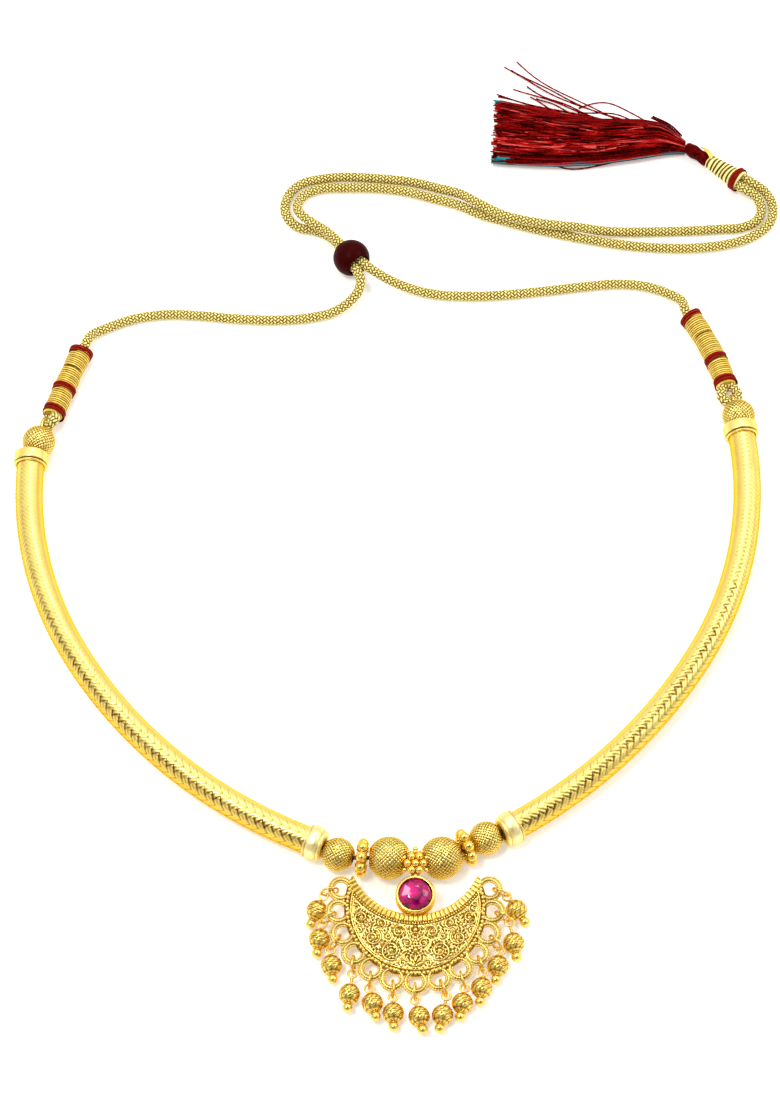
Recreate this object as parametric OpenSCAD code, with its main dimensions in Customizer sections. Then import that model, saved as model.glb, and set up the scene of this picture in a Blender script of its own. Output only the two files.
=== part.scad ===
// Temple necklace: two gold neck tubes, a row of beads with a crescent pendant and thirteen drops,
// and a back cord with a sliding bead and a silk tassel. It lies on a flat surface at z = 0.
// The origin is the middle of the neck opening, +X to the wearer's left tube end on the right,
// +Y towards the tassel, and every size is in millimetres.

/* [Neck tubes] */
// Outer diameter of a neck tube
tube_d = 5.3; // [4.8:0.1:5.4]
// Wall of a neck tube
tube_wall = 0.5; // [0.3:0.1:0.7]
// Diameter of an end cap, which carries the tube off the surface
cap_d = 6.6; // [6.6:0.1:7.2]
// Length of a front end cap
cap_len = 3.4; // [3.2:0.1:3.6]
// Length of a back end cap
back_cap_len = 2.8; // [2.6:0.1:3]

/* [Beads] */
// Diameter of a small bead
small_d = 6.4; // [5.8:0.1:6.4]
// Diameter of a large bead
large_d = 8.1; // [7.6:0.1:8.1]
// Diameter of the ring of balls on a flower spacer
flower_ring_d = 5.3; // [4.9:0.1:5.3]
// Diameter of one ball on a flower spacer
flower_ball_d = 2.1; // [2:0.1:2.2]
// Number of balls on a flower spacer
flower_balls = 8; // [8:1:9]
// Diameter of the silk stringing thread
thread_d = 0.8; // [0.6:0.1:0.9]

/* [Pendant] */
// Tilt of the pendant, whose upper end rides on the stringing thread
pendant_tilt = 8; // [7.5:0.5:8.5]
// Radius of the crescent's lower edge
crescent_r = 13.2; // [12.8:0.1:13.4]
// Radius of the crescent's upper edge
hollow_r = 12.5; // [12.2:0.1:12.6]
// Thickness of the crescent plate
plate_t = 1.1; // [0.9:0.1:1.2]
// Outer radius of a hanging loop
loop_r = 2.5; // [2.3:0.1:2.6]
// Diameter of the hole in a hanging loop
loop_hole_d = 2.4; // [2.3:0.1:2.5]
// Angle between neighbouring loops
loop_pitch = 17.5; // [17:0.1:17.8]
// Outer diameter of the round stone setting
bezel_d = 7.4; // [7.2:0.1:7.6]
// Diameter of the round stone
stone_d = 6; // [5.6:0.1:6]

/* [Drops] */
// Diameter of a drop bead
drop_d = 4; // [3.6:0.1:4]
// Diameter of the small ball at a drop's tip
tip_d = 1.9; // [1.6:0.1:2]
// Mean diameter of a jump ring
jump_ring_d = 3.2; // [3.1:0.1:3.3]
// Diameter of the jump ring wire
wire_d = 0.45; // [0.4:0.05:0.45]

/* [Cord] */
// Diameter of the braided cord
cord_d = 2; // [1.8:0.1:2]
// Diameter of the thread winding over the cord ends
binding_d = 4.4; // [4.2:0.1:4.4]
// Diameter of the sliding bead
slider_d = 7.2; // [7:0.1:7.2]
// Bore of the sliding bead, which passes both cords
slider_bore = 4.7; // [4.6:0.1:4.8]

/* [Tassel] */
// Length of the silk skirt
skirt_len = 39; // [34:1:39]
// Width of the silk skirt at its cut end
skirt_w = 13.8; // [12:0.2:15]
// Height of the silk skirt at its fullest
skirt_h = 5; // [4:0.5:5]

/* [Hidden] */
$fn = 48;
SIDES = ["left", "right"];

gold = [0.90, 0.72, 0.30];
pale_gold = [0.92, 0.80, 0.46];
silk_red = [0.62, 0.05, 0.06];
band_red = [0.70, 0.10, 0.08];
ruby_pink = [0.78, 0.05, 0.38];
maroon = [0.26, 0.03, 0.03];

// Each neck tube is two arcs that share a tangent at their join. Columns: centre of the back arc,
// its radius, the radius of the front arc, and the angles of the back end, the join and the front
// end, seen from the centres.
TUBES = [
    [[4.1, 1.2], 73.3, 93, 175.5, 209, 247.9],
    [[-6.2, 1.9], 75.5, 101, 8.8, -30, -59.58]];
cap_z = cap_d / 2;
tube_r = tube_d / 2;
fit_gap = 0.08;
cap_seat = 1.6;
front_mouth_r = 1.6;
back_mouth_r = tube_r + fit_gap;
front_round = 1.1;
back_round = 0.3;
small_r = small_d / 2;
large_r = large_d / 2;
small_half = 2.95;
large_half = 3.7;
bore_r = 0.8;
small_bore_r = 1;
large_bore_r = 1.3;
thread_r = thread_d / 2;
spacer_half = flower_ball_d / 2;
spacer_z = (flower_ring_d + flower_ball_d) / 2;

// The row of beads. Columns for each side: middle and heading of the large bead, the flower spacer
// and the small bead.
row_middle = [5.1, -78.9];
ROW = [
    [[[0.25, -78.9], -2], [[-4.85, -78.7], -7], [[-9.3, -77.75], -19]],
    [[[10.02, -78.9], 13], [[14.6, -76.55], 25], [[18.3, -74.4], 28]]];
// The thread's way through the row, from one front cap to the other
ROW_THREAD = [
    [-12.1, -76.55, 3.3], [-6.5, -78.5, 3.3], [-4.9, -78.7, 3.6], [-3.5, -78.8, 3.9], [3.8, -78.9, 4.05],
    [6.4, -79, 4.05], [13.2, -77.6, 3.9], [14.6, -76.65, 3.7], [15.7, -75.85, 3.4], [20.9, -73.1, 3.3]];

// Pendant, in its own tilted frame: x across, y up the pendant and z out of its face, with the
// stringing thread at its origin
plate_top = 1.6;
loops_y = -10.1;
loops_r = 14.25;
hollow_y = 1.05;
bezel_y = -8;
bezel_h = 1.6;
bezel_r = bezel_d / 2;
stone_seat = 1.7;
stone_h = 1.5;
loop_t = 0.9;
border_w = 1.5;
border_h = 0.35;
bail_w = 1.8;
bail_r = 1.3;
flower_y = -2;
flower_z = 3.1;
grain_r = 0.75;
grain_ring_r = 1.5;

// Drops. Columns: heading of the jump ring, height of its far side, heading of the pin,
// spare pin below the eye, and roll of the ring about its length.
DROPS = [
    [-170, 2.8, -115, 0.0, 0], [-148, 2.4, -100, 0.0, 0], [-130, 2.2, -85, 0.0, 0],
    [-94, 2.1, -98, 1.1, 8], [-96, 2.0, -78, 0.0, 0], [-88, 2.0, -89, 0.1, -6],
    [-92, 2.0, -77, 0.3, 6], [-68, 2.0, -101, 0.8, 0], [-76, 2.0, -99, 0.1, 8],
    [-72, 2.1, -96, 0.0, 0], [-53, 2.2, -98, 0.0, -6], [-24, 2.4, -80, 1.2, 6],
    [-13, 2.8, -54, 0.0, 14]];
ring_slack = 0.42;
ring_least_z = 1.9;
eye_r = 0.8;
eye_wire_r = 0.2;
eye_slack = 0.15;
pin_r = 0.3;

// Cord ends at the back. Columns: middle of the back bead, heading and climb of its wire ring,
// roll of ring and loop, start of the winding, its heading, its bow radius (positive bows to the
// left) and its length.
CORD_ENDS = [
    [[-67.65, 11], 69, -7, -50, [-65.15, 17.35], 72, -250, 15.8],
    [[68.1, 16.9], 106, -20, 10, [66.05, 24], 105, 62, 17.6]];
ring_seat = 4.25;
end_ring_r = 1.3;
end_ring_wire_r = 0.22;
end_loop_r = 1.65;
end_strand_r = 1;
end_loop_gap = 0.42;
binding_z = 2.46;
band_gap = 0.07;
band_r = 2.42;
band_w = 1.3;
cord_z = 1.05;

// Routes of the two cords between the winding and the tassel's head, through the sliding bead.
// The left cord bends outside the right one, then rises over it and bends inside it at the tassel.
LEFT_ROUTE = [
    [-58.3, 35.9, 1.8], [-55, 38.1, 1.2], [-50, 40.2, cord_z], [-44, 41.2, cord_z], [-37, 41, cord_z],
    [-30, 40.3, cord_z], [-22, 40, cord_z], [-15, 40.6, cord_z], [-10.6, 41.7, 1.4], [-7.7, 43.3, 2.3],
    [-5.8, 45.4, 3.4], [-5.4, 47.5, 4.1], [-6.1, 49.3, 4.37], [-7.85, 52.35, 2.82], [-9.2, 55.7, 1.76],
    [-10.4, 58, 1.4], [-12.2, 59.7, 1.1], [-14.6, 60.8, cord_z], [-17.5, 61.4, cord_z],
    [-19.7, 63.3, cord_z], [-20.5, 66.2, cord_z], [-19.6, 69.3, cord_z], [-17.2, 71.7, cord_z],
    [-13, 72.9, cord_z], [-1, 72.9, cord_z], [5, 72.1, cord_z], [10, 70.6, 1.2], [14.3, 68.8, 2],
    [18.3, 65.8, 2.9], [22.2, 63.4, 3.12], [30.1, 61.2, 3.14], [34.1, 60.7, 3.02], [38, 60.5, 2.6],
    [42, 60.3, 1.8], [54, 60.5, cord_z], [66, 61.1, cord_z], [70.3, 61.5, cord_z], [73.1, 63, cord_z],
    [74.2, 65.8, 1.2], [73.2, 68.2, 1.8]];
RIGHT_ROUTE = [
    [57.8, 43.9, 1.8], [54.8, 46.2, 1.2], [50.5, 47.8, cord_z], [45.5, 48.3, cord_z],
    [39.5, 47.8, cord_z], [32, 46.8, cord_z], [16, 45.5, cord_z], [10, 45.8, 1.1], [5.8, 46.5, 1.5],
    [2.2, 47.4, 2.4], [-0.9, 48.5, 3.5], [-2.8, 49.5, 4.1], [-4.3, 50.55, 4.38], [-6.55, 53.25, 4.42],
    [-9.2, 55.7, 4], [-12.4, 59.3, 3.35], [-15.3, 61.5, 3.2], [-17.2, 63.6, 2.5], [-18, 66.2, 1.4],
    [-16.9, 68.8, cord_z], [-14.2, 70.3, cord_z], [-8, 70.8, cord_z], [-2, 70.7, cord_z],
    [4, 69.8, cord_z], [9, 68.3, cord_z], [14.3, 66.6, cord_z], [18.3, 64.6, cord_z],
    [22.2, 63.3, cord_z], [30.1, 60.9, cord_z], [34.1, 59.9, cord_z], [40, 58.6, cord_z],
    [48, 57.2, cord_z], [54, 56.7, cord_z], [61, 56.7, cord_z], [67, 57.5, cord_z],
    [72.3, 59.4, cord_z], [75.7, 62.5, cord_z], [76.5, 66, 1.2], [75.1, 69.3, 1.7]];
slider_at = [-7.2, 52.8, 3.62];
slider_heading = -55;
slider_climb = 12;

// Tassel: the middle of its head's cord end, its heading and fall, and the sizes along it
tassel_at = [70.25, 71.3, 2.6];
tassel_heading = 141;
tassel_climb = -3;
head_len = 8.2;
head_r = 2.2;
head_tip_r = 1.4;
head_band_r = 2.45;
entry_len = 1.2;
strand_gap = 0.03;
neck_gap = 0.1;
neck_len = 5.4;
neck_r = 1.3;
skirt_gap = 0.3;
skirt_heading = 176;
// Sections of the skirt. Columns: share of its length, width and height as shares of the largest,
// sideways shift in millimetres and turn in degrees.
SKIRT = [
    [0.00, 0.17, 0.56, 0.0, -35], [0.03, 0.24, 0.66, -0.3, -22], [0.08, 0.38, 0.80, -0.9, -8],
    [0.14, 0.50, 0.92, -1.2, 0], [0.24, 0.58, 1.00, -0.8, 0], [0.44, 0.68, 0.96, 0.3, 0],
    [0.64, 0.81, 0.86, 0.2, 0], [0.80, 0.91, 0.76, -0.4, 0], [1.00, 1.00, 0.64, -1.2, 0]];
skirt_sides = 24;

function two_digits(i) = str(i < 10 ? "0" : "", i);
function index_of(side) = side == "left" ? 0 : 1;
function compass(a) = [cos(a), sin(a)];
function unit(v) = v / norm(v);

// Points on the tubes: the front arc's centre lies on the line through the join
function back_centre(t) = t[0];
function front_centre(t) = t[0] + (t[1] - t[2]) * compass(t[4]);
function back_point(t, a) = back_centre(t) + t[1] * compass(a);
function front_point(t, a) = front_centre(t) + t[2] * compass(a);

// Direction with a heading and a climb in degrees
function towards(heading, climb = 0) =
    [cos(climb) * cos(heading), cos(climb) * sin(heading), sin(climb)];

// Point of the pendant's own frame, in the frame of the whole necklace
function pendant_point(p) = [
    row_middle[0] + p[0],
    row_middle[1] + p[1] * cos(pendant_tilt) - p[2] * sin(pendant_tilt),
    large_r + p[1] * sin(pendant_tilt) + p[2] * cos(pendant_tilt)];
function loop_angle(i) = -90 + (i - 6) * loop_pitch;
function loop_middle(i) = [loops_r * cos(loop_angle(i)), loops_y + loops_r * sin(loop_angle(i))];

// Jump ring i holds the rim of its loop and runs down to the eye of its pin; its middle is higher
// than that way where the ring would touch the surface
rim_r = (loop_r + loop_hole_d / 2) / 2;
ring_reach = ring_slack + jump_ring_d / 2;
function rim_point(i) =
    pendant_point(concat(loop_middle(i), [plate_top - loop_t / 2]))
    + rim_r * (towards(DROPS[i][0]) + [0, 0, sin(DROPS[i][0]) * tan(pendant_tilt)]);
function ring_middle(i) =
    let (rim = rim_point(i),
        lift = max((DROPS[i][1] - rim[2]) * ring_slack / ring_reach, ring_least_z - rim[2]))
    rim + [0, 0, lift] + sqrt(pow(ring_slack, 2) - pow(lift, 2)) * towards(DROPS[i][0]);
function ring_climb(i) = asin((DROPS[i][1] - ring_middle(i)[2]) * 2 / jump_ring_d);
function ring_far(i) = ring_middle(i) + jump_ring_d / 2 * towards(DROPS[i][0], ring_climb(i));
pin_len = eye_slack + eye_r + eye_wire_r + drop_d / 2;
function pin_climb(i) = asin((drop_d / 2 + 0.02 - DROPS[i][1]) / (pin_len + DROPS[i][3]));

// Ends of a winding and the way from one point to another
function winding_end(e) =
    let (turn = e[7] * 180 / PI / e[6], side = e[5] + 90)
    concat(e[4] + e[6] * (compass(side) - compass(side + turn)), [binding_z]);
function winding_way(e) = towards(e[5] + e[7] * 180 / PI / e[6]);
function heading_of(v) = atan2(v[1], v[0]);
function climb_of(v) = asin(v[2] / norm(v));

// Rings of points around a route, each square to the way the route runs there
function route_way(r, i) =
    unit(r[min(i + 1, len(r) - 1)] - r[max(i - 1, 0)]);
function ring_around(r, i, radius, sides) =
    let (w = route_way(r, i), s = unit(cross([0, 0, 1], w)), u = cross(w, s))
    [for (k = [0:sides - 1]) r[i] + radius * (s * cos(360 * k / sides) + u * sin(360 * k / sides))];
function swept_faces(n, sides) = concat(
    [[for (k = [0:sides - 1]) k]],
    [for (i = [0:n - 2]) for (k = [0:sides - 1])
        let (a = i * sides + k, b = i * sides + (k + 1) % sides)
        each [[a, a + sides, b], [b, a + sides, b + sides]]],
    [[for (k = [sides - 1:-1:0]) (n - 1) * sides + k]]);

module sweep(route, radius, sides = 8) {
    polyhedron(
        [for (i = [0:len(route) - 1]) each ring_around(route, i, radius, sides)],
        swept_faces(len(route), sides));
}

// Puts its children at a point, with their +X along a heading
module along(p, heading, climb = 0, roll = 0) {
    translate(p) rotate([0, -climb, heading]) rotate([roll, 0, 0]) children();
}

module rod(r, from, to) {
    translate([from, 0, 0]) rotate([0, 90, 0]) cylinder(r = r, h = to - from);
}

module torus(mean_r, wire_r) {
    rotate_extrude() translate([mean_r, 0]) circle(wire_r, $fn = 24);
}

// Hollow arc that starts at the origin along +X and bows towards +Y
module tube_arc(r, turn) {
    translate([0, r, 0]) rotate([0, 0, -90]) rotate_extrude(angle = turn, $fn = 120)
        translate([r, 0]) difference() {
            circle(tube_r);
            circle(tube_r - tube_wall);
        }
}

// Both arcs of a tube start at their join
module neck_tube(t) {
    side = sign(t[5] - t[4]);
    p = back_point(t, t[4]);
    color(gold) translate([p[0], p[1], cap_z]) rotate([0, 0, t[4] + 90 * side])
        mirror([0, side < 0 ? 1 : 0, 0]) {
            tube_arc(t[2], abs(t[5] - t[4]));
            mirror([1, 0, 0]) tube_arc(t[1], abs(t[4] - t[3]));
        }
}

// End cap with its tube side towards -X, round at its outer edge, and its mouth at +X
module end_cap(length, mouth_r, round_r) {
    shoulder = cap_d / 2 - round_r;
    color(pale_gold) rotate([0, 90, 0]) rotate_extrude() difference() {
        union() {
            square([cap_d / 2 - 0.2, length - round_r]);
            translate([0, 0.2]) square([cap_d / 2, length - round_r - 0.2]);
            square([shoulder, length]);
            translate([shoulder, length - round_r]) circle(round_r);
        }
        translate([0, -1]) square([tube_r + fit_gap, 1 + cap_seat]);
        translate([0, -1]) square([mouth_r, length + 2]);
        translate([-2 * cap_d, -cap_d]) square([2 * cap_d, 3 * cap_d]);
    }
}

// Places a cap over one end of a tube, with the tube's end just short of the cap's seat
module on_tube_end(p, heading) {
    along([p[0], p[1], cap_z], heading) translate([0.1 - cap_seat, 0, 0]) children();
}

module front_cap(side) {
    t = TUBES[index_of(side)];
    turn = sign(t[5] - t[4]);
    on_tube_end(front_point(t, t[5]), t[5] + 90 * turn) end_cap(cap_len, front_mouth_r, front_round);
}

module back_cap(side) {
    t = TUBES[index_of(side)];
    turn = sign(t[3] - t[4]);
    on_tube_end(back_point(t, t[3]), t[3] + 90 * turn) end_cap(back_cap_len, back_mouth_r, back_round);
}

// Round bead with flat ends, turned about X
module turned_bead(r, half, bore) {
    rotate([0, 90, 0]) rotate_extrude() intersection() {
        circle(r);
        translate([bore, -half]) square([r, 2 * half]);
    }
}

// Places a piece of the row, by its number on its side, at a height
module in_row(side, i, z) {
    piece = ROW[index_of(side)][i];
    along([piece[0][0], piece[0][1], z], piece[1]) children();
}

module small_bead(side) {
    color(gold) in_row(side, 2, small_r) turned_bead(small_r, small_half, small_bore_r);
}

module large_bead(side) {
    color(gold) in_row(side, 0, large_r) turned_bead(large_r, large_half, large_bore_r);
}

module flower_spacer(side) {
    color(gold) in_row(side, 1, spacer_z) difference() {
        union() {
            rod(flower_ring_d / 2 - 0.2, -spacer_half + 0.25, spacer_half - 0.25);
            for (k = [0:flower_balls - 1]) rotate([360 * (k + 0.5) / flower_balls, 0, 0])
                translate([0, 0, flower_ring_d / 2]) sphere(flower_ball_d / 2);
        }
        rod(small_bore_r, -spacer_half - 1, spacer_half + 1);
    }
}

// Back bead: bored from the tube side only, with a soldered ring that carries the cord's loop
function back_bead_point(e) = concat(e[0], [cap_z]);
function tube_end_point(s) = concat(back_point(TUBES[s], TUBES[s][3]), [cap_z]);
function ring_point(e) = back_bead_point(e) + ring_seat * towards(e[1], e[2]);

module back_bead(side) {
    s = index_of(side);
    e = CORD_ENDS[s];
    p = back_bead_point(e);
    color(gold) difference() {
        translate(p) sphere(small_r);
        along(p, heading_of(p - tube_end_point(s))) rod(bore_r, -small_r - 1, 0);
    }
    color(gold) along(p, e[1], e[2], e[3]) translate([ring_seat, 0, 0])
        rotate([90, 0, 0]) torus(end_ring_r, end_ring_wire_r);
}

// Loop at the cord's end: a half turn through the wire ring and two strands to the winding
module end_loop(side) {
    e = CORD_ENDS[index_of(side)];
    way = concat(e[4], [binding_z]) - ring_point(e);
    strand_len = norm(way) - end_loop_r - end_loop_gap;
    color(pale_gold) along(ring_point(e), heading_of(way), climb_of(way), e[3])
        translate([end_loop_r, 0, 0]) {
            rotate([0, 0, 90]) rotate_extrude(angle = 180) translate([end_loop_r, 0]) circle(end_strand_r);
            for (y = [-end_loop_r, end_loop_r]) translate([0, y, 0]) rod(end_strand_r, 0, strand_len);
        }
}

// Winding and its bands follow one bowed line
module on_winding(side, from, to) {
    e = CORD_ENDS[index_of(side)];
    bow = e[6];
    turn = 180 / PI / abs(bow);
    translate([e[4][0], e[4][1], binding_z]) rotate([0, 0, e[5]])
        mirror([0, bow < 0 ? 1 : 0, 0]) translate([0, abs(bow), 0]) rotate([0, 0, -90 + from * turn])
            rotate_extrude(angle = (to - from) * turn, $fn = 180) translate([abs(bow), 0]) children();
}

module binding(side) {
    e = CORD_ENDS[index_of(side)];
    color(gold) on_winding(side, 0, e[7]) circle(binding_d / 2);
}

module red_bands(side) {
    e = CORD_ENDS[index_of(side)];
    for (from = [0.2, 5.4, e[7] - band_w - 0.2])
        color(band_red) on_winding(side, from, from + band_w) difference() {
            circle(band_r);
            circle(binding_d / 2 + band_gap);
        }
}

// Thread through both tubes and the whole row, from the middle of one back bead to the other
function tube_line(t) = concat(
    [for (k = [0:9]) back_point(t, t[3] + (t[4] - t[3]) * k / 10)],
    [for (k = [0:10]) front_point(t, t[4] + (t[5] - t[4]) * k / 10)]);
function tube_thread(s) = concat(
    [back_bead_point(CORD_ENDS[s]) - 0.4 * unit(back_bead_point(CORD_ENDS[s]) - tube_end_point(s))],
    [for (p = tube_line(TUBES[s])) [p[0], p[1], cap_z]]);
function turned_round(points) = [for (i = [len(points) - 1:-1:0]) points[i]];

module stringing_thread() {
    color(silk_red) sweep(concat(tube_thread(0), ROW_THREAD, turned_round(tube_thread(1))), thread_r);
}

module in_pendant() {
    translate([row_middle[0], row_middle[1], large_r]) rotate([pendant_tilt, 0, 0]) children();
}

module crescent_outline(inset = 0) {
    difference() {
        translate([0, loops_y]) circle(crescent_r - inset, $fn = 120);
        translate([0, hollow_y]) circle(hollow_r + inset, $fn = 120);
    }
}

module loop_discs(r) {
    for (i = [0:12]) translate(loop_middle(i)) circle(r);
}

// Crescent, loops, stone setting and bail are soldered into one piece
module pendant() {
    color(gold) in_pendant() {
        difference() {
            union() {
                translate([0, 0, plate_top - plate_t]) linear_extrude(plate_t) crescent_outline();
                translate([0, 0, plate_top - loop_t]) linear_extrude(loop_t) loop_discs(loop_r);
                translate([0, 0, plate_top - 0.1]) linear_extrude(border_h + 0.1) difference() {
                    crescent_outline();
                    translate([0, hollow_y]) circle(hollow_r + border_w, $fn = 120);
                }
                translate([0, bezel_y, plate_top - plate_t]) cylinder(r = bezel_r, h = bezel_h + plate_t);
                translate([-0.8, bezel_y + bezel_r - 0.5, plate_top - plate_t]) cube([1.6, 2.6, 1.6]);
                translate([0, flower_y, 0.6]) cylinder(r = 1.1, h = flower_z - 0.6);
                rod(bail_r, -bail_w / 2, bail_w / 2);
                flower_grains();
            }
            translate([0, 0, -1]) linear_extrude(4) loop_discs(loop_hole_d / 2);
            translate([0, bezel_y, stone_seat]) cylinder(r = stone_d / 2 + fit_gap, h = 4);
            rod(bore_r, -3, 3);
        }
    }
}

module flower_grains() {
    translate([0, flower_y, flower_z]) {
        sphere(grain_r);
        for (k = [0:5]) rotate([0, 0, 60 * k]) translate([grain_ring_r, 0, 0]) sphere(grain_r);
    }
}

module ruby() {
    girdle = 0.5;
    color(ruby_pink) in_pendant() translate([0, bezel_y, stone_seat + fit_gap]) {
        cylinder(r = stone_d / 2, h = stone_h - girdle);
        translate([0, 0, stone_h - girdle]) cylinder(r1 = stone_d / 2, r2 = stone_d / 2 - 0.9, h = 2 * girdle);
    }
}

module drop_ring(i) {
    d = DROPS[i];
    color(gold) along(ring_middle(i), d[0], ring_climb(i), d[4])
        rotate([90, 0, 0]) torus(jump_ring_d / 2, wire_d / 2);
}

// A drop bead and its tip are fixed on a pin, whose upper end is bent into an eye. Bead, tip and
// pin are turned about one axis.
module drop_bead(i) {
    d = DROPS[i];
    ball_at = pin_len + d[3];
    pin_from = eye_slack + eye_r;
    color(gold) along(ring_far(i), d[2], pin_climb(i), d[4] / 2) {
        translate([eye_slack, 0, 0]) torus(eye_r, eye_wire_r);
        rotate([0, 90, 0]) rotate_extrude() intersection() {
            union() {
                translate([0, pin_from]) square([pin_r, ball_at - pin_from]);
                translate([0, ball_at]) circle(drop_d / 2);
                translate([0, ball_at + drop_d / 2 + tip_d / 2 - 0.2]) circle(tip_d / 2);
            }
            square([drop_d, ball_at + drop_d + tip_d]);
        }
    }
}

// Each cord leaves its winding square to the end face and meets the tassel's head the same way
function tassel_entry(offset) =
    let (w = towards(tassel_heading, tassel_climb), n = towards(tassel_heading + 90))
    [tassel_at + offset * n - entry_len * w, tassel_at + offset * n - strand_gap * w];
function cord_line(e, route, offset) = concat(
    [winding_end(e) + strand_gap * winding_way(e), winding_end(e) + entry_len * winding_way(e)],
    route, tassel_entry(offset));

module cord(side) {
    half_pair = cord_d / 2 + 0.08;
    color(pale_gold) sweep(side == "left" ? cord_line(CORD_ENDS[0], LEFT_ROUTE, half_pair)
        : cord_line(CORD_ENDS[1], RIGHT_ROUTE, -half_pair), cord_d / 2);
}

module slider_bead() {
    color(maroon) along(slider_at, slider_heading, slider_climb)
        turned_bead(slider_d / 2, slider_d / 2, slider_bore / 2);
}

module in_tassel() {
    along(tassel_at, tassel_heading, tassel_climb) children();
}

module tassel_binding() {
    color(gold) in_tassel() rotate([0, 90, 0]) cylinder(r1 = head_r, r2 = head_tip_r, h = head_len);
}

module tassel_red_band() {
    color(band_red) in_tassel() difference() {
        rod(head_band_r, 0.1, 1.7);
        rod(head_r + band_gap, -1, 3);
    }
}

module tassel_neck() {
    color(silk_red) in_tassel() rod(neck_r, head_len + neck_gap, head_len + neck_gap + neck_len);
}

// Section of the skirt: a flat-bottomed oval that rests on the surface
function skirt_ring(s) =
    let (along_x = s[0] * skirt_len, half_w = s[1] * skirt_w / 2, high = s[2] * skirt_h)
    [for (k = [0:skirt_sides - 1])
        let (a = 360 * k / skirt_sides, lift = sin(a) < 0 ? 0.42 : 0.58, across = half_w * cos(a))
        [along_x - across * sin(s[4]), s[3] + across * cos(s[4]), 0.05 + high * (0.42 + lift * sin(a))]];

module tassel_skirt() {
    neck_end = head_len + neck_gap + neck_len + skirt_gap;
    p = tassel_at + neck_end * towards(tassel_heading, tassel_climb);
    color(silk_red) translate([p[0], p[1], 0]) rotate([0, 0, skirt_heading]) polyhedron(
        [for (s = SKIRT) each skirt_ring(s)],
        swept_faces(len(SKIRT), skirt_sides));
}

neck_tube(TUBES[0]);  // tube_left
neck_tube(TUBES[1]);  // tube_right
for (side = SIDES) {
    front_cap(side);
    back_cap(side);
    back_bead(side);
    small_bead(side);
    flower_spacer(side);
    large_bead(side);
    end_loop(side);
    binding(side);
    red_bands(side);
    cord(side);
}
pendant();
ruby();
stringing_thread();
slider_bead();
tassel_binding();
tassel_red_band();
tassel_neck();
tassel_skirt();
for (i = [0:12]) {
    drop_ring(i);
    drop_bead(i);
}
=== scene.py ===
"""Temple necklace: engraved neck tubes, granulated beads, a crescent pendant with ball drops, and a
braided back cord with a sliding bead and a silk tassel. Lengths in the tables are millimetres."""

import math
from collections import namedtuple

import bpy
import numpy as np
from bpy.props import FloatProperty, FloatVectorProperty, IntProperty, PointerProperty
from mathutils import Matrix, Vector


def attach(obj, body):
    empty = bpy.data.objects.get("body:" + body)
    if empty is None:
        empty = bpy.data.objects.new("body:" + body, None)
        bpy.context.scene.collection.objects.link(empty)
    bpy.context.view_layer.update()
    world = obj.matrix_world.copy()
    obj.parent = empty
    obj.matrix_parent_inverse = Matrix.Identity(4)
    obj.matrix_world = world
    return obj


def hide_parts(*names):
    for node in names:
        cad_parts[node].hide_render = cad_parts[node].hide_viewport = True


bl_info = {
    "name": "Temple Necklace",
    "version": (1, 0, 0),
    "blender": (4, 5, 0),
    "location": "3D View > Sidebar > Necklace",
    "description": "Builds the looks of a temple necklace around its fixed frame",
    "category": "Object",
}

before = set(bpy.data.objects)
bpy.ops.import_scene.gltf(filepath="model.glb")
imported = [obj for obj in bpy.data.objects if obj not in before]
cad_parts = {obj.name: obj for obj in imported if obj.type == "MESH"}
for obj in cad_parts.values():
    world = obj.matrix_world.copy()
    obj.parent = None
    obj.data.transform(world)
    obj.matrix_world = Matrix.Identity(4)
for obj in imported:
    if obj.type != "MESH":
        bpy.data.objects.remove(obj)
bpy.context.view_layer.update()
MM = 0.001
TURN = 2 * np.pi
SIDES = ("left", "right")

# Sizes and places in millimetres and degrees, most of which the frame fixes

TUBE_R, CAP_R, SMALL_R, LARGE_R = 2.65, 3.3, 3.2, 4.05
CAP_Z = CAP_R
# Centre of the back arc, its radius, the front arc's radius, angles of back end, join, front end
TUBES = {
    "left": ((4.1, 1.2), 73.3, 93.0, 175.5, 209.0, 247.9),
    "right": ((-6.2, 1.9), 75.5, 101.0, 8.8, -30.0, -59.58),
}
# Radians around each tube to the dark seam where two columns of strokes meet, and how far it drifts
# outwards
SEAM = {"left": (2.15, 0.0), "right": (1.82, 0.35)}

# Place along a cap from its edge on the tube, and radius, around the section of its wall, and how far
# the tube reaches into it
CARVED_EDGE = (
    (0.0, 2.74), (0.0, 3.02), (0.08, 3.16), (0.2, 3.22), (0.32, 3.16), (0.42, 2.92), (0.52, 2.92),
    (0.62, 3.18), (0.8, 3.28),
)
CAPS = {
    "front": CARVED_EDGE + (
        (1.3, 3.3), (1.9, 3.28), (2.3, 3.2), (2.5, 3.06), (2.62, 2.84), (2.7, 2.8), (2.78, 2.9), (2.95, 2.98),
        (3.12, 2.9), (3.25, 2.66), (3.36, 2.4), (3.4, 2.1), (3.38, 1.72), (3.2, 1.6), (2.4, 1.6), (1.62, 1.6),
        (1.6, 1.7), (1.6, 2.6), (1.55, 2.73), (0.1, 2.73)),
    "back": CARVED_EDGE + (
        (1.4, 3.3), (2.0, 3.3), (2.4, 3.29), (2.6, 3.24), (2.72, 3.14), (2.8, 3.0), (2.8, 2.8), (2.7, 2.74),
        (1.5, 2.73), (0.1, 2.73)),
}
CAP_OVERLAP = 1.5

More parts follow.
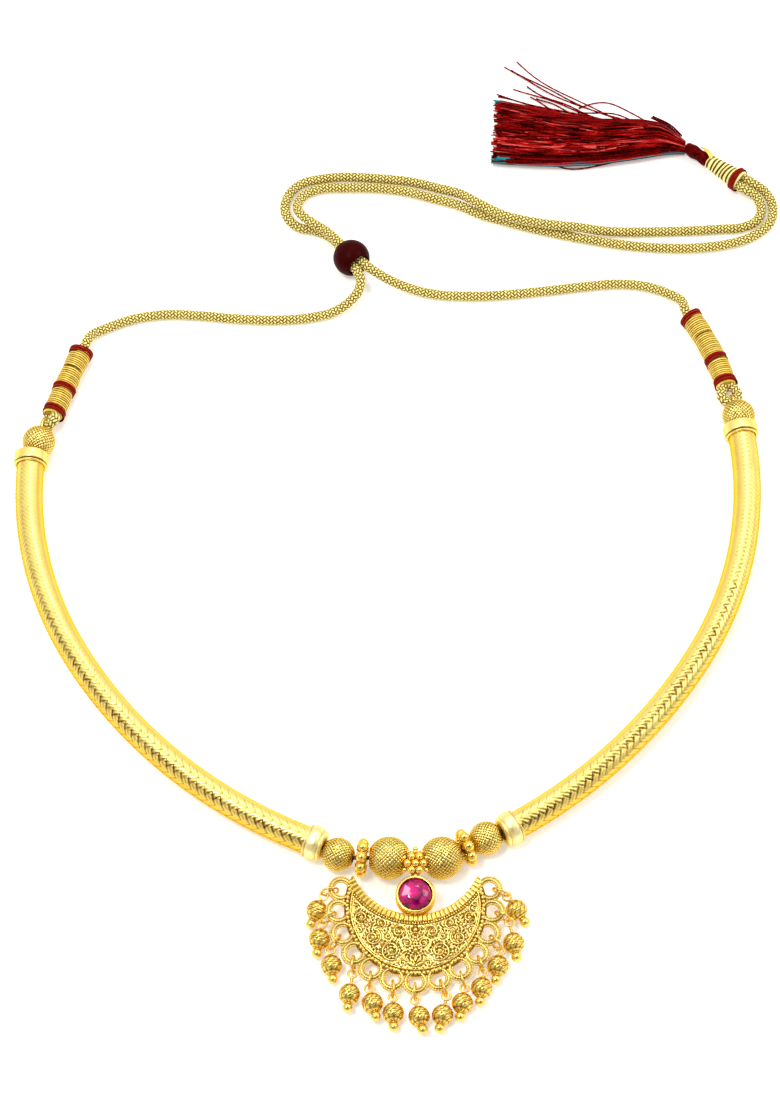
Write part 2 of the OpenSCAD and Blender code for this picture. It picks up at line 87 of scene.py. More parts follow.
# Middle and heading of the large bead, flower spacer and small bead
ROW = {
    "left": (((0.25, -78.9), -2), ((-4.85, -78.7), -7), ((-9.3, -77.75), -19)),
    "right": (((10.02, -78.9), 13), ((14.6, -76.55), 25), ((18.3, -74.4), 28)),
}
SMALL_HALF, LARGE_HALF, SMALL_BORE, LARGE_BORE = 2.95, 3.7, 1.0, 1.3
SPACER_RING, GRANULE_R, GRANULES, SPACER_Z = 2.65, 1.05, 8, 3.7
# Place along the spacer and radius
SPACER_HUB = ((-0.8, 1.0), (-0.8, 2.3), (-0.6, 2.45), (0.6, 2.45), (0.8, 2.3), (0.8, 1.0))

PENDANT_AT, PENDANT_TILT = (5.1, -78.9, LARGE_R), 8.0
LOOPS_Y, LOOPS_R, LOOP_PITCH, LOOP_T = -10.1, 14.25, 17.5, 0.9
CRESCENT_R, HOLLOW_R, HOLLOW_Y = 13.2, 12.5, 1.05
PLATE_TOP, PLATE_T = 1.6, 1.1
BEZEL_Y, FLOWER_Y, FLOWER_Z, BAIL_HALF = -8.0, -2.0, 3.1, 0.9
# Height and radius, up the outside of the stone's setting, down its inside and back under its floor
SETTING = (
    (0.5, 3.0), (0.5, 3.6), (0.62, 3.7), (1.7, 3.7), (1.85, 3.62), (2.0, 3.6), (2.15, 3.68), (2.6, 3.7),
    (2.95, 3.66), (3.12, 3.54), (3.2, 3.38), (3.17, 3.2), (3.02, 3.1), (2.8, 3.07), (1.72, 3.07), (1.7, 2.9),
    (1.7, 0.05), (0.5, 0.05),
)
BAIL_RING = (
    (-BAIL_HALF, 0.82), (-BAIL_HALF, 1.15), (-0.75, 1.3), (0.75, 1.3), (BAIL_HALF, 1.15), (BAIL_HALF, 0.82))
FLOWER_POST = ((0.6, 0.05), (0.6, 1.1), (2.9, 1.1), (FLOWER_Z, 0.05))
# Place and height of the corners of the bar from the setting to the flower's post, and half its width
BAIL_STRUT = ((BEZEL_Y + 3.2, 0.5), (-2.2, 0.5), (-2.2, 2.1), (BEZEL_Y + 3.2, 2.1))
STRUT_HALF = 0.8
# Grains of the flower and its crown: distance and direction from its middle, height over it, radius
FLOWER = (
    (0, 0, 0, 0.75), *((1.5, 60 * k, 0, 0.75) for k in range(6)),
    *((2.35, 60 * k + 30, -0.45, 0.42) for k in range(6)), (2.95, 90, -0.5, 0.5), (2.6, 62, -0.4, 0.42),
    (2.6, 118, -0.4, 0.42),
)
# Base, girdle's edges, crown and table of the stone: radius and height of its even and of its odd points
STONE_RINGS = (
    (2.2, 1.8, 2.2, 1.8), (3.0, 2.5, 3.0, 2.5), (3.0, 2.86, 3.0, 2.86), (2.45, 3.3, 2.2, 3.42),
    (1.35, 3.76, 1.6, 3.7),
)

# Ring heading, height of its far side, pin heading, spare pin, roll
DROPS = (
    (-170, 2.8, -115, 0.0, 0), (-148, 2.4, -100, 0.0, 0), (-130, 2.2, -85, 0.0, 0), (-94, 2.1, -98, 1.1, 8),
    (-96, 2.0, -78, 0.0, 0), (-88, 2.0, -89, 0.1, -6), (-92, 2.0, -77, 0.3, 6), (-68, 2.0, -101, 0.8, 0),
    (-76, 2.0, -99, 0.1, 8), (-72, 2.1, -96, 0.0, 0), (-53, 2.2, -98, 0.0, -6), (-24, 2.4, -80, 1.2, 6),
    (-13, 2.8, -54, 0.0, 14),
)
RIM_R, RING_SLACK, RING_R, WIRE_R, RING_LEAST_Z = 1.85, 0.42, 1.6, 0.225, 1.9
EYE_SLACK, EYE_R, EYE_WIRE_R, PIN_R, DROP_R, TIP_R = 0.15, 0.8, 0.2, 0.3, 2.0, 0.95
# Place past the ball's end and radius
DROP_COLLAR = ((-0.12, 0.2), (-0.1, 0.7), (0.05, 0.72), (0.08, 0.2))

# Bead middle, heading, climb and roll of its ring, start of the winding, its heading, bow and length
CordEnd = namedtuple("CordEnd", "bead ring_heading ring_climb roll start heading bow length")
CORD_ENDS = {
    "left": CordEnd((-67.65, 11.0), 69, -7, -50, (-65.15, 17.35), 72, -250.0, 15.8),
    "right": CordEnd((68.1, 16.9), 106, -20, 10, (66.05, 24.0), 105, 62.0, 17.6),
}
RING_SEAT, END_RING_R, END_WIRE_R, END_LOOP_R, STRAND_R, LOOP_GAP = 4.25, 1.3, 0.22, 1.65, 1.0, 0.42
# Place before or past the winding's mouth and half the distance between the loop's legs
LOOP_LEGS = ((1.6, 0.85), (0.9, 0.9), (0.2, 1.05), (-0.9, 1.5))
BINDING_R, BINDING_Z, BAND_R, BAND_W = 2.2, 2.46, 2.42, 1.3
CORD_R, ENTRY_LEN = 1.0, 1.2
# Points of each cord between its winding and the tassel's head
ROUTES = {
    "left": (
        (-58.3, 35.9, 1.8), (-55, 38.1, 1.2), (-50, 40.2, 1.05), (-44, 41.2, 1.05), (-37, 41, 1.05),
        (-30, 40.3, 1.05), (-22, 40, 1.05), (-15, 40.6, 1.05), (-10.6, 41.7, 1.4), (-7.7, 43.3, 2.3),
        (-5.8, 45.4, 3.4), (-5.4, 47.5, 4.1), (-6.1, 49.3, 4.37), (-7.85, 52.35, 2.82), (-9.2, 55.7, 1.76),
        (-10.4, 58, 1.4), (-12.2, 59.7, 1.1), (-14.6, 60.8, 1.05), (-17.5, 61.4, 1.05), (-19.7, 63.3, 1.05),
        (-20.5, 66.2, 1.05), (-19.6, 69.3, 1.05), (-17.2, 71.7, 1.05), (-13, 72.9, 1.05), (-1, 72.9, 1.05),
        (5, 72.1, 1.05), (10, 70.6, 1.2), (14.3, 68.8, 2), (18.3, 65.8, 2.9), (22.2, 63.4, 3.12),
        (30.1, 61.2, 3.14), (34.1, 60.7, 3.02), (38, 60.5, 2.6), (42, 60.3, 1.8), (54, 60.5, 1.05),
        (66, 61.1, 1.05), (70.3, 61.5, 1.05), (73.1, 63, 1.05), (74.2, 65.8, 1.2), (73.2, 68.2, 1.8)),
    "right": (
        (57.8, 43.9, 1.8), (54.8, 46.2, 1.2), (50.5, 47.8, 1.05), (45.5, 48.3, 1.05), (39.5, 47.8, 1.05),
        (32, 46.8, 1.05), (16, 45.5, 1.05), (10, 45.8, 1.1), (5.8, 46.5, 1.5), (2.2, 47.4, 2.4),
        (-0.9, 48.5, 3.5), (-2.8, 49.5, 4.1), (-4.3, 50.55, 4.38), (-6.55, 53.25, 4.42), (-9.2, 55.7, 4),
        (-12.4, 59.3, 3.35), (-15.3, 61.5, 3.2), (-17.2, 63.6, 2.5), (-18, 66.2, 1.4), (-16.9, 68.8, 1.05),
        (-14.2, 70.3, 1.05), (-8, 70.8, 1.05), (-2, 70.7, 1.05), (4, 69.8, 1.05), (9, 68.3, 1.05),
        (14.3, 66.6, 1.05), (18.3, 64.6, 1.05), (22.2, 63.3, 1.05), (30.1, 60.9, 1.05), (34.1, 59.9, 1.05),
        (40, 58.6, 1.05), (48, 57.2, 1.05), (54, 56.7, 1.05), (61, 56.7, 1.05), (67, 57.5, 1.05),
        (72.3, 59.4, 1.05), (75.7, 62.5, 1.05), (76.5, 66, 1.2), (75.1, 69.3, 1.7)),
}
SLIDER_AT, SLIDER_HEADING, SLIDER_CLIMB, SLIDER_R, SLIDER_BORE = (-7.2, 52.8, 3.62), -55, 12, 3.6, 2.35

TASSEL_AT, TASSEL_HEADING, TASSEL_CLIMB = (70.25, 71.3, 2.6), 141, -3
HEAD_LEN, HEAD_R, HEAD_TIP_R, HEAD_BAND_R, NECK_LEN, NECK_R = 8.2, 2.2, 1.4, 2.45, 5.4, 1.3
NECK_START = HEAD_LEN + 0.1
SKIRT_LEN, SKIRT_W, SKIRT_H, SKIRT_HEADING = 39.0, 13.8, 5.0, 176
THREAD_R, EDGE_THREAD_R, LOOSE_R, STRAY_R, STUB_R = 0.15, 0.16, 0.17, 0.18, 0.22
CORE_SHARE, THREAD_POINTS = 0.86, 22
# Share of its length, width and height as shares of the largest, sideways shift
SKIRT = np.array((
    (0.00, 0.17, 0.56, 0.0), (0.03, 0.24, 0.66, -0.3), (0.08, 0.38, 0.80, -0.9), (0.14, 0.50, 0.92, -1.2),
    (0.24, 0.58, 1.00, -0.8), (0.44, 0.68, 0.96, 0.3), (0.64, 0.81, 0.86, 0.2), (0.80, 0.91, 0.76, -0.4),
    (1.00, 1.00, 0.64, -1.2),
))
# Radians around the skirt between which extra red threads stand out at its edges, and how many
EDGE_THREADS = ((-0.5, 0.6, 40), (np.pi - 0.6, np.pi + 0.3, 34))
# The same for teal threads, with the shares of its section that they lie between and where they begin
TEAL_THREADS = (
    (-0.35, 0.28, 46, 1.0, 1.07, 0.0), (np.pi - 0.22, np.pi + 0.3, 34, 1.0, 1.07, 0.0),
    (-0.05, 0.42, 26, 1.02, 1.1, 0.925), (np.pi - 0.4, np.pi - 0.1, 12, 1.02, 1.08, 0.8),
    (-0.2, 0.1, 20, 1.04, 1.1, 0.05),
)
# Start and swing in radians and shade of each loose gold thread on the neck
LOOSE_GOLD = ((1.7, 0.9, 0.5), (1.95, 0.75, 0.8), (2.2, 0.5, 0.3), (1.5, 0.6, 0.6))
# Root, bend and tip of each stray thread, and the middle line of a stub of two threads
STRAYS = np.array((
    ((46, 85.2, 3.6), (33, 93.5, 1.2), (25.9, 101.2, 0.4)),
    ((47, 84.6, 3.7), (32, 92.6, 1.5), (23.4, 99.9, 0.5)),
    ((48, 84.8, 3.6), (34, 91.9, 1.1), (25.0, 99.6, 0.3)),
    ((44, 85.0, 3.7), (35, 89.5, 2.0), (27.9, 95.3, 0.4)),
    ((43, 85.2, 3.4), (34, 90.6, 1.4), (25.4, 94.9, 0.4)),
    ((45, 84.9, 3.5), (35, 87.6, 2.4), (21.8, 93.3, 0.6)),
    ((40, 86.0, 3.2), (32, 89.0, 1.8), (22.0, 92.9, 0.3)),
    ((42, 85.2, 3.6), (35, 88.6, 2.0), (30.0, 92.6, 0.4)),
    ((38, 86.2, 3.0), (33, 88.2, 2.0), (28.5, 92.8, 0.3)),
    ((52, 85.2, 2.6), (45, 93.2, 0.9), (38.5, 90.4, 0.3)),
    ((51.4, 84.9, 2.5), (44.5, 88.2, 2.8), (38, 88.0, 2.0)),
    ((50, 79.3, 0.6), (38, 73.2, 0.3), (30.5, 77.8, 0.4)),
))
STUB = np.array(((58.6, 82.4, 1.9), (56.6, 84.6, 2.2), (52.9, 87.0, 2.0)))

# Right half of the crescent's scrollwork, which the left half mirrors. Scrolls: middle, outer and
# inner radius, starting angle, turns. Grains: middle, radius. Petals: direction, length, and the place
# on the middle line that they grow from.
SCROLLS = (
    (4.5, -18.4, 2.05, 0.35, -150, 1.6), (3.0, -14.75, 1.35, 0.3, 200, -1.4),
    (7.9, -15.9, 1.65, 0.3, 100, 1.5), (6.4, -13.1, 1.0, 0.25, -90, -1.3),
    (10.0, -12.0, 1.4, 0.3, -120, 1.4), (11.1, -9.2, 0.75, 0.2, 60, 1.2),
    (1.55, -17.0, 0.9, 0.25, 60, 1.2), (2.3, -20.8, 0.75, 0.2, 150, -1.2),
    (10.4, -14.5, 0.6, 0.2, 0, 1.1), (5.1, -15.6, 0.6, 0.2, 90, 1.1),
)
GRAINS = (
    (0, -18.3, 0.42), (0, -14.4, 0.4), (0.75, -15.2, 0.26), (0.75, -13.9, 0.26), (0, -15.9, 0.28),
    (4.5, -18.4, 0.4), (7.9, -15.9, 0.34), (10.0, -12.0, 0.34), (3.0, -14.75, 0.32), (6.4, -13.1, 0.3),
    (6.9, -18.6, 0.34), (6.2, -17.0, 0.26), (8.4, -13.3, 0.3), (9.0, -17.3, 0.26), (2.7, -19.1, 0.26),
    (8.3, -11.3, 0.26), (9.5, -9.9, 0.26), (5.0, -20.9, 0.26), (1.3, -19.0, 0.24), (4.6, -12.9, 0.24),
)
PETALS, PETALS_Y = ((90, 2.2), (58, 2.0), (28, 1.7)), -21.4


# Surfaces

def around(n):
    """Angles of n columns around a piece."""
    return np.arange(n) * TURN / n


def part_of(x):
    """Distance past the last whole number."""
    return x - np.floor(x)


def wedge(x):
    """Triangle wave of period 1 from 0 up to 1 and back."""
    return 1 - np.abs(2 * part_of(x) - 1)


def ribs(x, power=1.0):
    """Rounded ribs with a groove at each whole number: the sine's height to a power."""
    return np.abs(np.sin(np.pi * x)) ** power


def hump(x, middle, width):
    """Bell curve of height 1."""
    return np.exp(-((x - middle) / width) ** 2)


def ease(low, high, x):
    """Smooth step from 0 at low to 1 at high."""
    t = np.clip((x - low) / (high - low), 0, 1)
    return t * t * (3 - 2 * t)


def compass(a):
    """Cosine and sine of an angle in degrees."""
    return np.array((np.cos(np.radians(a)), np.sin(np.radians(a))))


def towards(heading, climb=0.0):
    """Unit vector with a heading and a climb in degrees."""
    flat = np.cos(np.radians(climb))
    return np.array((*(flat * compass(heading)), np.sin(np.radians(climb))))


def turn_matrix(heading, climb=0.0, roll=0.0):
    """Columns are where +X, +Y and +Z go: rolled about X, raised by the climb, turned to the heading."""
    h, c, r = np.radians((heading, climb, roll))
    about_z = np.array(((np.cos(h), -np.sin(h), 0), (np.sin(h), np.cos(h), 0), (0, 0, 1)))
    about_y = np.array(((np.cos(c), 0, -np.sin(c)), (0, 1, 0), (np.sin(c), 0, np.cos(c))))
    about_x = np.array(((1, 0, 0), (0, np.cos(r), -np.sin(r)), (0, np.sin(r), np.cos(r))))
    return about_z @ about_y @ about_x


def placed(points, at, heading=0.0, climb=0.0, roll=0.0):
    """Points turned by heading, climb and roll, then moved to a place."""
    return points @ turn_matrix(heading, climb, roll).T + np.asarray(at, float)


def turned(x, r, columns):
    """Surface of revolution about X: (x, r cos a, r sin a). x and r are columns of a profile, or may
    change around the piece too."""
    a = around(columns)
    return np.stack((x + 0 * a, r * np.cos(a), r * np.sin(a)), -1)


def upright(z, r, columns, y):
    """Surface of revolution about a line along Z that passes through (0, y)."""
    return turned(z, r, columns)[..., [1, 2, 0]] + (0, y, 0)


def profile_of(pairs):
    """Places along the axis and radii of a profile, each as a column."""
    table = np.array(pairs)
    return table[:, :1], table[:, 1:]


def ways_of(path):
    """Unit tangents, sideways and upward vectors along a path, sideways being level."""
    t = np.gradient(path, axis=0)
    t /= np.linalg.norm(t, axis=1, keepdims=True)
    s = np.cross((0, 0, 1.0), t)
    s /= np.linalg.norm(s, axis=1, keepdims=True)
    return t, s, np.cross(t, s)


def swept(path, r, sides):
    """Tube about a path: point + r (cos a sideways + sin a upward)."""
    _, s, u = ways_of(path)
    a = around(sides)
    r = np.broadcast_to(np.asarray(r, float), (len(path), sides))[..., None]
    return path[:, None] + r * (s[:, None] * np.cos(a)[None, :, None] + u[:, None] * np.sin(a)[None, :, None])


def lengths_along(path):
    """Length of a line up to each of its points."""
    return np.concatenate(((0.0,), np.cumsum(np.linalg.norm(np.diff(path, axis=0), axis=1))))


def evenly(path, step):
    """The same line with points at even steps."""
    s = lengths_along(path)
    at = np.linspace(0, s[-1], max(2, int(round(s[-1] / step)) + 1))
    return np.stack([np.interp(at, s, path[:, k]) for k in range(3)], -1)


def smooth_route(points, step):
    """Cubic through the points: each tangent is the mean of its two chords' directions, weighted by
    the other chord's length, and each end's tangent is its own chord's."""
    p = np.asarray(points, float)
    d = np.diff(p, axis=0)
    n = np.linalg.norm(d, axis=1, keepdims=True)
    way = d / n
    middle = (way[1:] * n[:-1] + way[:-1] * n[1:]) / (n[1:] + n[:-1])
    m = np.concatenate((way[:1], middle, way[-1:]))
    t = np.linspace(0, 1, 24, endpoint=False)[None, :, None]
    a, b, ma, mb = p[:-1, None], p[1:, None], m[:-1, None] * n[:, None], m[1:, None] * n[:, None]
    curve = ((1 + 2 * t) * (1 - t) ** 2) * a + t * (1 - t) ** 2 * ma + t * t * (3 - 2 * t) * b
    curve = curve + t * t * (t - 1) * mb
    return evenly(np.concatenate((curve.reshape(-1, 3), p[-1:])), step)


def chevrons(s, a, pitch, columns, slant, lean):
    """Height from 0 in the cuts to 1: strokes a pitch apart that slant one way in each odd column
    around the piece and the other way in each even one, with a valley where two columns meet. A high
    lean makes the cuts narrow."""
    stroke = 1 - np.abs(2 * part_of(s / pitch + slant * wedge(a * columns / TURN / 2)) - 1) ** lean
    column = ribs(part_of(a * columns / TURN), 0.5)
    return stroke * (0.45 + 0.55 * column)


def braid(s, a, pitch, strands=8):
    """Round braid: one family of strands winds each way, and each strand passes over two of the other
    family, then under two. A stitch is highest along its middle and dives at both ends."""
    b = a + 0.5 * np.sin(s / 13)
    u, v = s / pitch + b * strands / TURN, s / pitch - b * strands / TURN
    turn = (np.floor(u) + np.floor(v)) % 4
    over = turn < 2
    across = np.where(over, u, v)
    along = np.where(over, turn + part_of(v), turn - 2 + part_of(u)) / 2
    return ribs(across, 0.6) * ribs(along, 0.4)


def knurl(lat, lon, count):
    """Rows of grains set in quincunx: the product of two slanted waves, 0 between them and 1 on top."""
    a, b = (lon + lat) * count / 2, (lon - lat) * count / 2
    return np.clip(1.5 * np.abs(np.cos(a) * np.cos(b)), 0, 1)


class Shape:
    """Grids of points in millimetres that become one mesh. Each point carries its ridge, from 0 in a
    groove to 1 on top, and a shade that tells threads apart and sets tones; on the stone it is
    painted reflection and on the tubes painted shade."""

    def __init__(self):
        self.points, self.faces, self.ridge, self.shade, self.count = [], [], [], [], 0

    def grid(self, p, ridge=1.0, shade=0.5, loop=False):
        """Rows run along the piece and columns around it. The last row is joined to the first in a
        loop, and otherwise both end rows are closed. The faces turn outwards by the sign of the
        volume, which is a sum over the triangles that fan out from each face's first corner."""
        rows, columns = p.shape[:2]
        index = np.arange(rows * columns).reshape(rows, columns)
        if loop:
            index = np.concatenate((index, index[:1]))
        beside = np.roll(index, -1, axis=1)
        faces = [np.stack((index[:-1], beside[:-1], beside[1:], index[1:]), -1).reshape(-1, 4)]
        if not loop:
            faces += [index[:1, ::-1], index[-1:]]
        flat = p.reshape(-1, 3) - p.reshape(-1, 3).mean(0)
        volume = sum((flat[f[:, :1]] * np.cross(flat[f[:, 1:-1]], flat[f[:, 2:]])).sum() for f in faces)
        if volume < 0:
            faces = [f[:, ::-1] for f in faces]
        self.faces += [f + self.count for f in faces]
        self.points.append(p.reshape(-1, 3))
        for values, value in ((self.ridge, ridge), (self.shade, shade)):
            values.append(np.broadcast_to(np.asarray(value, float), (rows, columns)).ravel())
        self.count += rows * columns
        return self

    def move(self, place):
        """Takes all points so far to a place."""
        self.points = [place(p) for p in self.points]
        return self

    def piece(self, name, material, slot, *nodes, sharp=55, smooth=True):
        """Makes the object, which stands for the named nodes. Edges over the sharp angle stay sharp."""
        mesh = bpy.data.meshes.new(name)
        corners = np.concatenate([f.ravel() for f in self.faces]).astype(np.int32)
        sizes = np.concatenate([np.full(len(f), f.shape[1]) for f in self.faces])
        starts = np.concatenate(((0,), np.cumsum(sizes)[:-1])).astype(np.int32)
        mesh.vertices.add(self.count)
        mesh.vertices.foreach_set("co", (np.concatenate(self.points) * MM).astype(np.float32).ravel())
        mesh.loops.add(len(corners))
        mesh.loops.foreach_set("vertex_index", corners)
        mesh.polygons.add(len(starts))
        mesh.polygons.foreach_set("loop_start", starts)
        mesh.update(calc_edges=True)
        for title, values in (("ridge", self.ridge), ("shade", self.shade)):
            layer = mesh.attributes.new(title, "FLOAT", "POINT")
            layer.data.foreach_set("value", np.concatenate(values).astype(np.float32))
        mesh.polygons.foreach_set("use_smooth", np.full(len(starts), smooth))
        if smooth:
            mesh.set_sharp_from_angle(angle=math.radians(sharp))
        mesh.materials.append(material)
        obj = bpy.data.objects.new(name, mesh)
        bpy.context.scene.collection.objects.link(obj)
        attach(obj, "root")
        if nodes:
            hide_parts(*nodes)
        return obj


def wire_ring(mean_r, wire_r, steps, sides, gap=0.0):
    """Wire ring: a circle of the wire's radius carried around Z, open by a gap in radians."""
    a = np.linspace(gap / 2, TURN - gap / 2, steps, endpoint=gap > 0)[:, None]
    b = around(sides)
    r = mean_r + wire_r * np.cos(b)
    return np.stack((r * np.cos(a), r * np.sin(a), wire_r * np.sin(b) + 0 * a), -1)


def ball(r, rows=12, columns=20):
    """Sphere: circles about X whose radius is the sine of the angle from its pole, with closed poles."""
    t = np.linspace(0.04, np.pi - 0.04, rows)[:, None]
    return turned(-r * np.cos(t), r * np.sin(t), columns)


def bored_bead(r, half, bore, count, depth, rows):
    """Bead about X with flat ends and a bore. Its round side carries rows of grains."""
    edge, columns = np.arccos(half / r), count * 6
    lat = np.linspace(edge, np.pi - edge, rows)[:, None]
    lon = around(columns)
    uneven = 0.92 + 0.08 * np.sin(5 * lon + 3 * np.sin(7 * lat)) * np.sin(11 * lat + 2)
    grain = knurl(lat, lon, count) ** 0.8 * uneven
    fade = ease(0, 0.12, np.minimum(lat - edge, np.pi - edge - lat) + 0.02)
    side = r - depth * (1 - grain) * fade
    rim = r * np.sin(edge) - 0.15
    end_x, end_r = profile_of((
        (half, rim), (half, bore + 0.12), (half - 0.12, bore), (0.12 - half, bore), (-half, bore + 0.12),
        (-half, rim)))
    flat = 0 * lon
    x = np.concatenate((-side * np.cos(lat), end_x + flat))
    y = np.concatenate((side * np.sin(lat), end_r + flat))
    return turned(x, y, columns), np.concatenate((grain * fade + (1 - fade), 0.4 + 0 * end_x + flat))


# Materials

class Flow:
    """A shader socket that takes part in sums and products."""

    def __init__(self, tree, socket):
        self.tree, self.socket = tree, socket

    def maths(self, operation, a, b):
        return node(self.tree, "Math", {"operation": operation}, {0: a, 1: b})

    def __add__(self, other):
        return self.maths("ADD", self, other)

    def __sub__(self, other):
        return self.maths("SUBTRACT", self, other)

    def __rsub__(self, other):
        return self.maths("SUBTRACT", other, self)

    def __mul__(self, other):
        return self.maths("MULTIPLY", self, other)

    def __pow__(self, other):
        return self.maths("POWER", self, other)

    __radd__, __rmul__ = __add__, __mul__


def node(tree, kind, settings=None, sockets=None, output=0):
    """Adds a node, sets its settings, then the values or links of its sockets. Returns one output."""
    made = tree.nodes.new("ShaderNode" + kind)
    for key, value in (settings or {}).items():
        setattr(made, key, value)
    for key, value in (sockets or {}).items():
        if isinstance(value, Flow):
            tree.links.new(value.socket, made.inputs[key])
        else:
            made.inputs[key].default_value = value
    return Flow(tree, made.outputs[output])


def blend_colours(tree, share, low, high):
    """Colour between two colours or sockets: the low one at a share of 0, the high one at 1."""
    low, high = [c if isinstance(c, Flow) else (*c, 1.0) for c in (low, high)]
    return node(tree, "Mix", {"data_type": "RGBA"}, {0: share, 6: low, 7: high}, 2)


class Finish:
    """Principled material in the making. What is uniform sits on the shader's own sockets. What varies
    is worked out from each point's ridge and shade and from noise in object coordinates."""

    def __init__(self, name, uniform):
        self.material = bpy.data.materials.new(name)
        self.material.use_nodes = True
        self.tree = self.material.node_tree
        self.shader = self.tree.nodes["Principled BSDF"]
        for key, value in uniform.items():
            self.shader.inputs[key].default_value = value
        self.where = node(self.tree, "TexCoord", output="Object")
        self.ridge, self.shade = [
            node(self.tree, "Attribute", {"attribute_name": key}, output="Fac") for key in ("ridge", "shade")]

    def noise(self, scale, detail=2.0):
        """Noise from 0 to 1 with so many lumps in a metre."""
        return node(self.tree, "TexNoise", None, {
            "Vector": self.where, "Scale": scale, "Detail": detail, "Roughness": 0.6})

    def blend(self, share, low, high):
        """Colour between two, at a share."""
        return blend_colours(self.tree, share, low, high)

    def feed(self, key, value):
        """Links a varying value to one of the shader's sockets."""
        self.tree.links.new(value.socket, self.shader.inputs[key])

    def grainy(self, strength, distance, scale, detail=2.0):
        """The finished material, with a fine bump of noise whose height is given in metres."""
        sockets = {"Strength": strength, "Distance": distance, "Height": self.noise(scale, detail)}
        self.feed("Normal", node(self.tree, "Bump", None, sockets))
        return self.material


def tint(context, key, share=1.0):
    """A colour of the panel, darkened or lightened by a share."""
    return tuple(round(min(1.0, share * v), 4) for v in getattr(context.scene.necklace_colours, key))


def gold(context, name, deep, warm, bright, rough, cut_rough, fine=2600.0, bump=0.12, glint_specks=0.6):
    """Polished gold whose cuts are deeper in colour and less polished, with fine handling marks.
    Fine specks of light and dark in its colour are painted glints. The shade leads from a warm tone
    to a pale one; on the tubes it is painted shade, warm on the sides and pale on top."""
    if name in bpy.data.materials:
        return bpy.data.materials[name]
    made = Finish(name, {"Metallic": 1.0, "Specular Tint": (1.0, 0.62, 0.16, 1)})
    wear = (made.noise(260.0) - 0.5) * 0.5
    # Specks of light and dark in the colour: painted glints.
    speck_and_glint = (made.noise(2900.0, 1.0) - 0.5) * glint_specks
    top = made.blend(made.shade + wear + speck_and_glint, tint(context, warm), tint(context, bright))
    out_of_cuts = made.ridge * 1.15 + wear * 0.5 + speck_and_glint * (1.3 - made.ridge)
    made.feed("Base Color", made.blend(out_of_cuts, tint(context, deep), top))
    made.feed("Roughness", cut_rough + (rough - cut_rough) * made.ridge + (made.noise(420.0) - 0.5) * 0.12)
    return made.grainy(bump, 0.00006, fine)


def thread(context, name, deep, bright, light, metallic, rough, least=0.55, gloss=0.5, speck_and_glint=0.3, narrow=1.4):
    """Wound or braided thread: dark between the turns, brighter on top, with fine fibres. least is
    how bright the darkest thread is, speck_and_glint how much single fibres differ, which also paints
    glints, and narrow how thin the bright tops are. Where a top is brightest it turns to the light
    colour, a painted highlight."""
    if name in bpy.data.materials:
        return bpy.data.materials[name]
    made = Finish(name, {"Metallic": metallic, "Specular IOR Level": gloss, "Specular Tint": (*light, 1)})
    fibres = (made.noise(900.0) - 0.5) * 0.3 + (made.noise(3100.0, 1.0) - 0.5) * speck_and_glint
    lit = made.ridge ** narrow * (least + (1.45 - least) * made.shade) + fibres
    body = made.blend(lit, tint(context, deep), tint(context, bright))
    # Painted highlight: where lit runs high the colour turns to the light one.
    made.feed("Base Color", made.blend(lit * 1.6 - 1.55, body, light))
    made.feed("Roughness", rough + (1 - made.ridge) * 0.25)
    return made.grainy(0.35, 0.00008, 5200.0, 3.0)


def engraved_gold(context):
    """Neck tubes and rings."""
    return gold(context, "engraved_gold", "gold_deep", "gold_warm", "gold", 0.31, 0.42)


def polished_gold(context):
    """Matt and pale, for the end caps."""
    return gold(context, "polished_gold", "gold_deep", "gold", "pale_gold", 0.4, 0.45, 1800.0, 0.1)


def granulated_gold(context):
    """Grains of the beads and spacers, whose sparkle is largely painted glints in their colour."""
    return gold(context, "granulated_gold", "gold_deep", "gold_warm", "gold", 0.22, 0.34, glint_specks=1.3)


def filigree_gold(context):
    """Pendant and drops, with a dark ground."""
    return gold(context, "filigree_gold", "filigree_deep", "gold_warm", "filigree", 0.26, 0.5)


# Each thread's third colour is its painted highlight.
def gold_braid(context):
    """Cords, end loops and the tassel's head."""
    return thread(context, "gold_braid", "zari_deep", "zari", (1.0, 0.92, 0.40), 0.12, 0.36,
                  least=3.5, gloss=0.22, speck_and_glint=0.6, narrow=3.4)


def gold_winding(context):
    """Warmer thread around the cords' ends."""
    return thread(context, "gold_winding", "winding_deep", "winding", (1.0, 0.86, 0.36), 0.4, 0.42,
                  least=0.75, gloss=0.25, speck_and_glint=0.75, narrow=1.7)


def red_winding(context):
    """Bands on the windings and the tassel's head."""
    return thread(context, "red_winding", "silk_deep", "red_thread", (0.75, 0.08, 0.04), 0.0, 0.6,
                  least=0.35, gloss=0.1, speck_and_glint=0.5)


def red_silk(context):
    """Tassel, from nearly black to bright red."""
    return thread(context, "red_silk", "silk_deep", "silk", (0.82, 0.15, 0.13), 0.0, 0.55,
                  least=0.0, gloss=0.05, speck_and_glint=0.7)


def teal_silk(context):
    """The few teal threads of the skirt."""
    return thread(context, "teal_silk", "teal_deep", "teal", (0.04, 0.40, 0.46), 0.0, 0.55,
                  least=0.3, gloss=0.1)


def maroon_bead(context):
    """Close wound dark thread, clouded, with a dull sheen on its turns."""
    made = Finish("maroon_bead", {"Specular IOR Level": 0.03})
    cloud = made.noise(700.0) * 0.7 + made.noise(2600.0) * 0.5 + made.ridge * 0.35 - 0.25
    made.feed("Base Color", made.blend(cloud, tint(context, "maroon", 0.45), tint(context, "maroon", 1.7)))
    made.feed("Roughness", 0.5 - made.ridge * 0.14)
    return made.grainy(0.2, 0.00006, 2400.0)


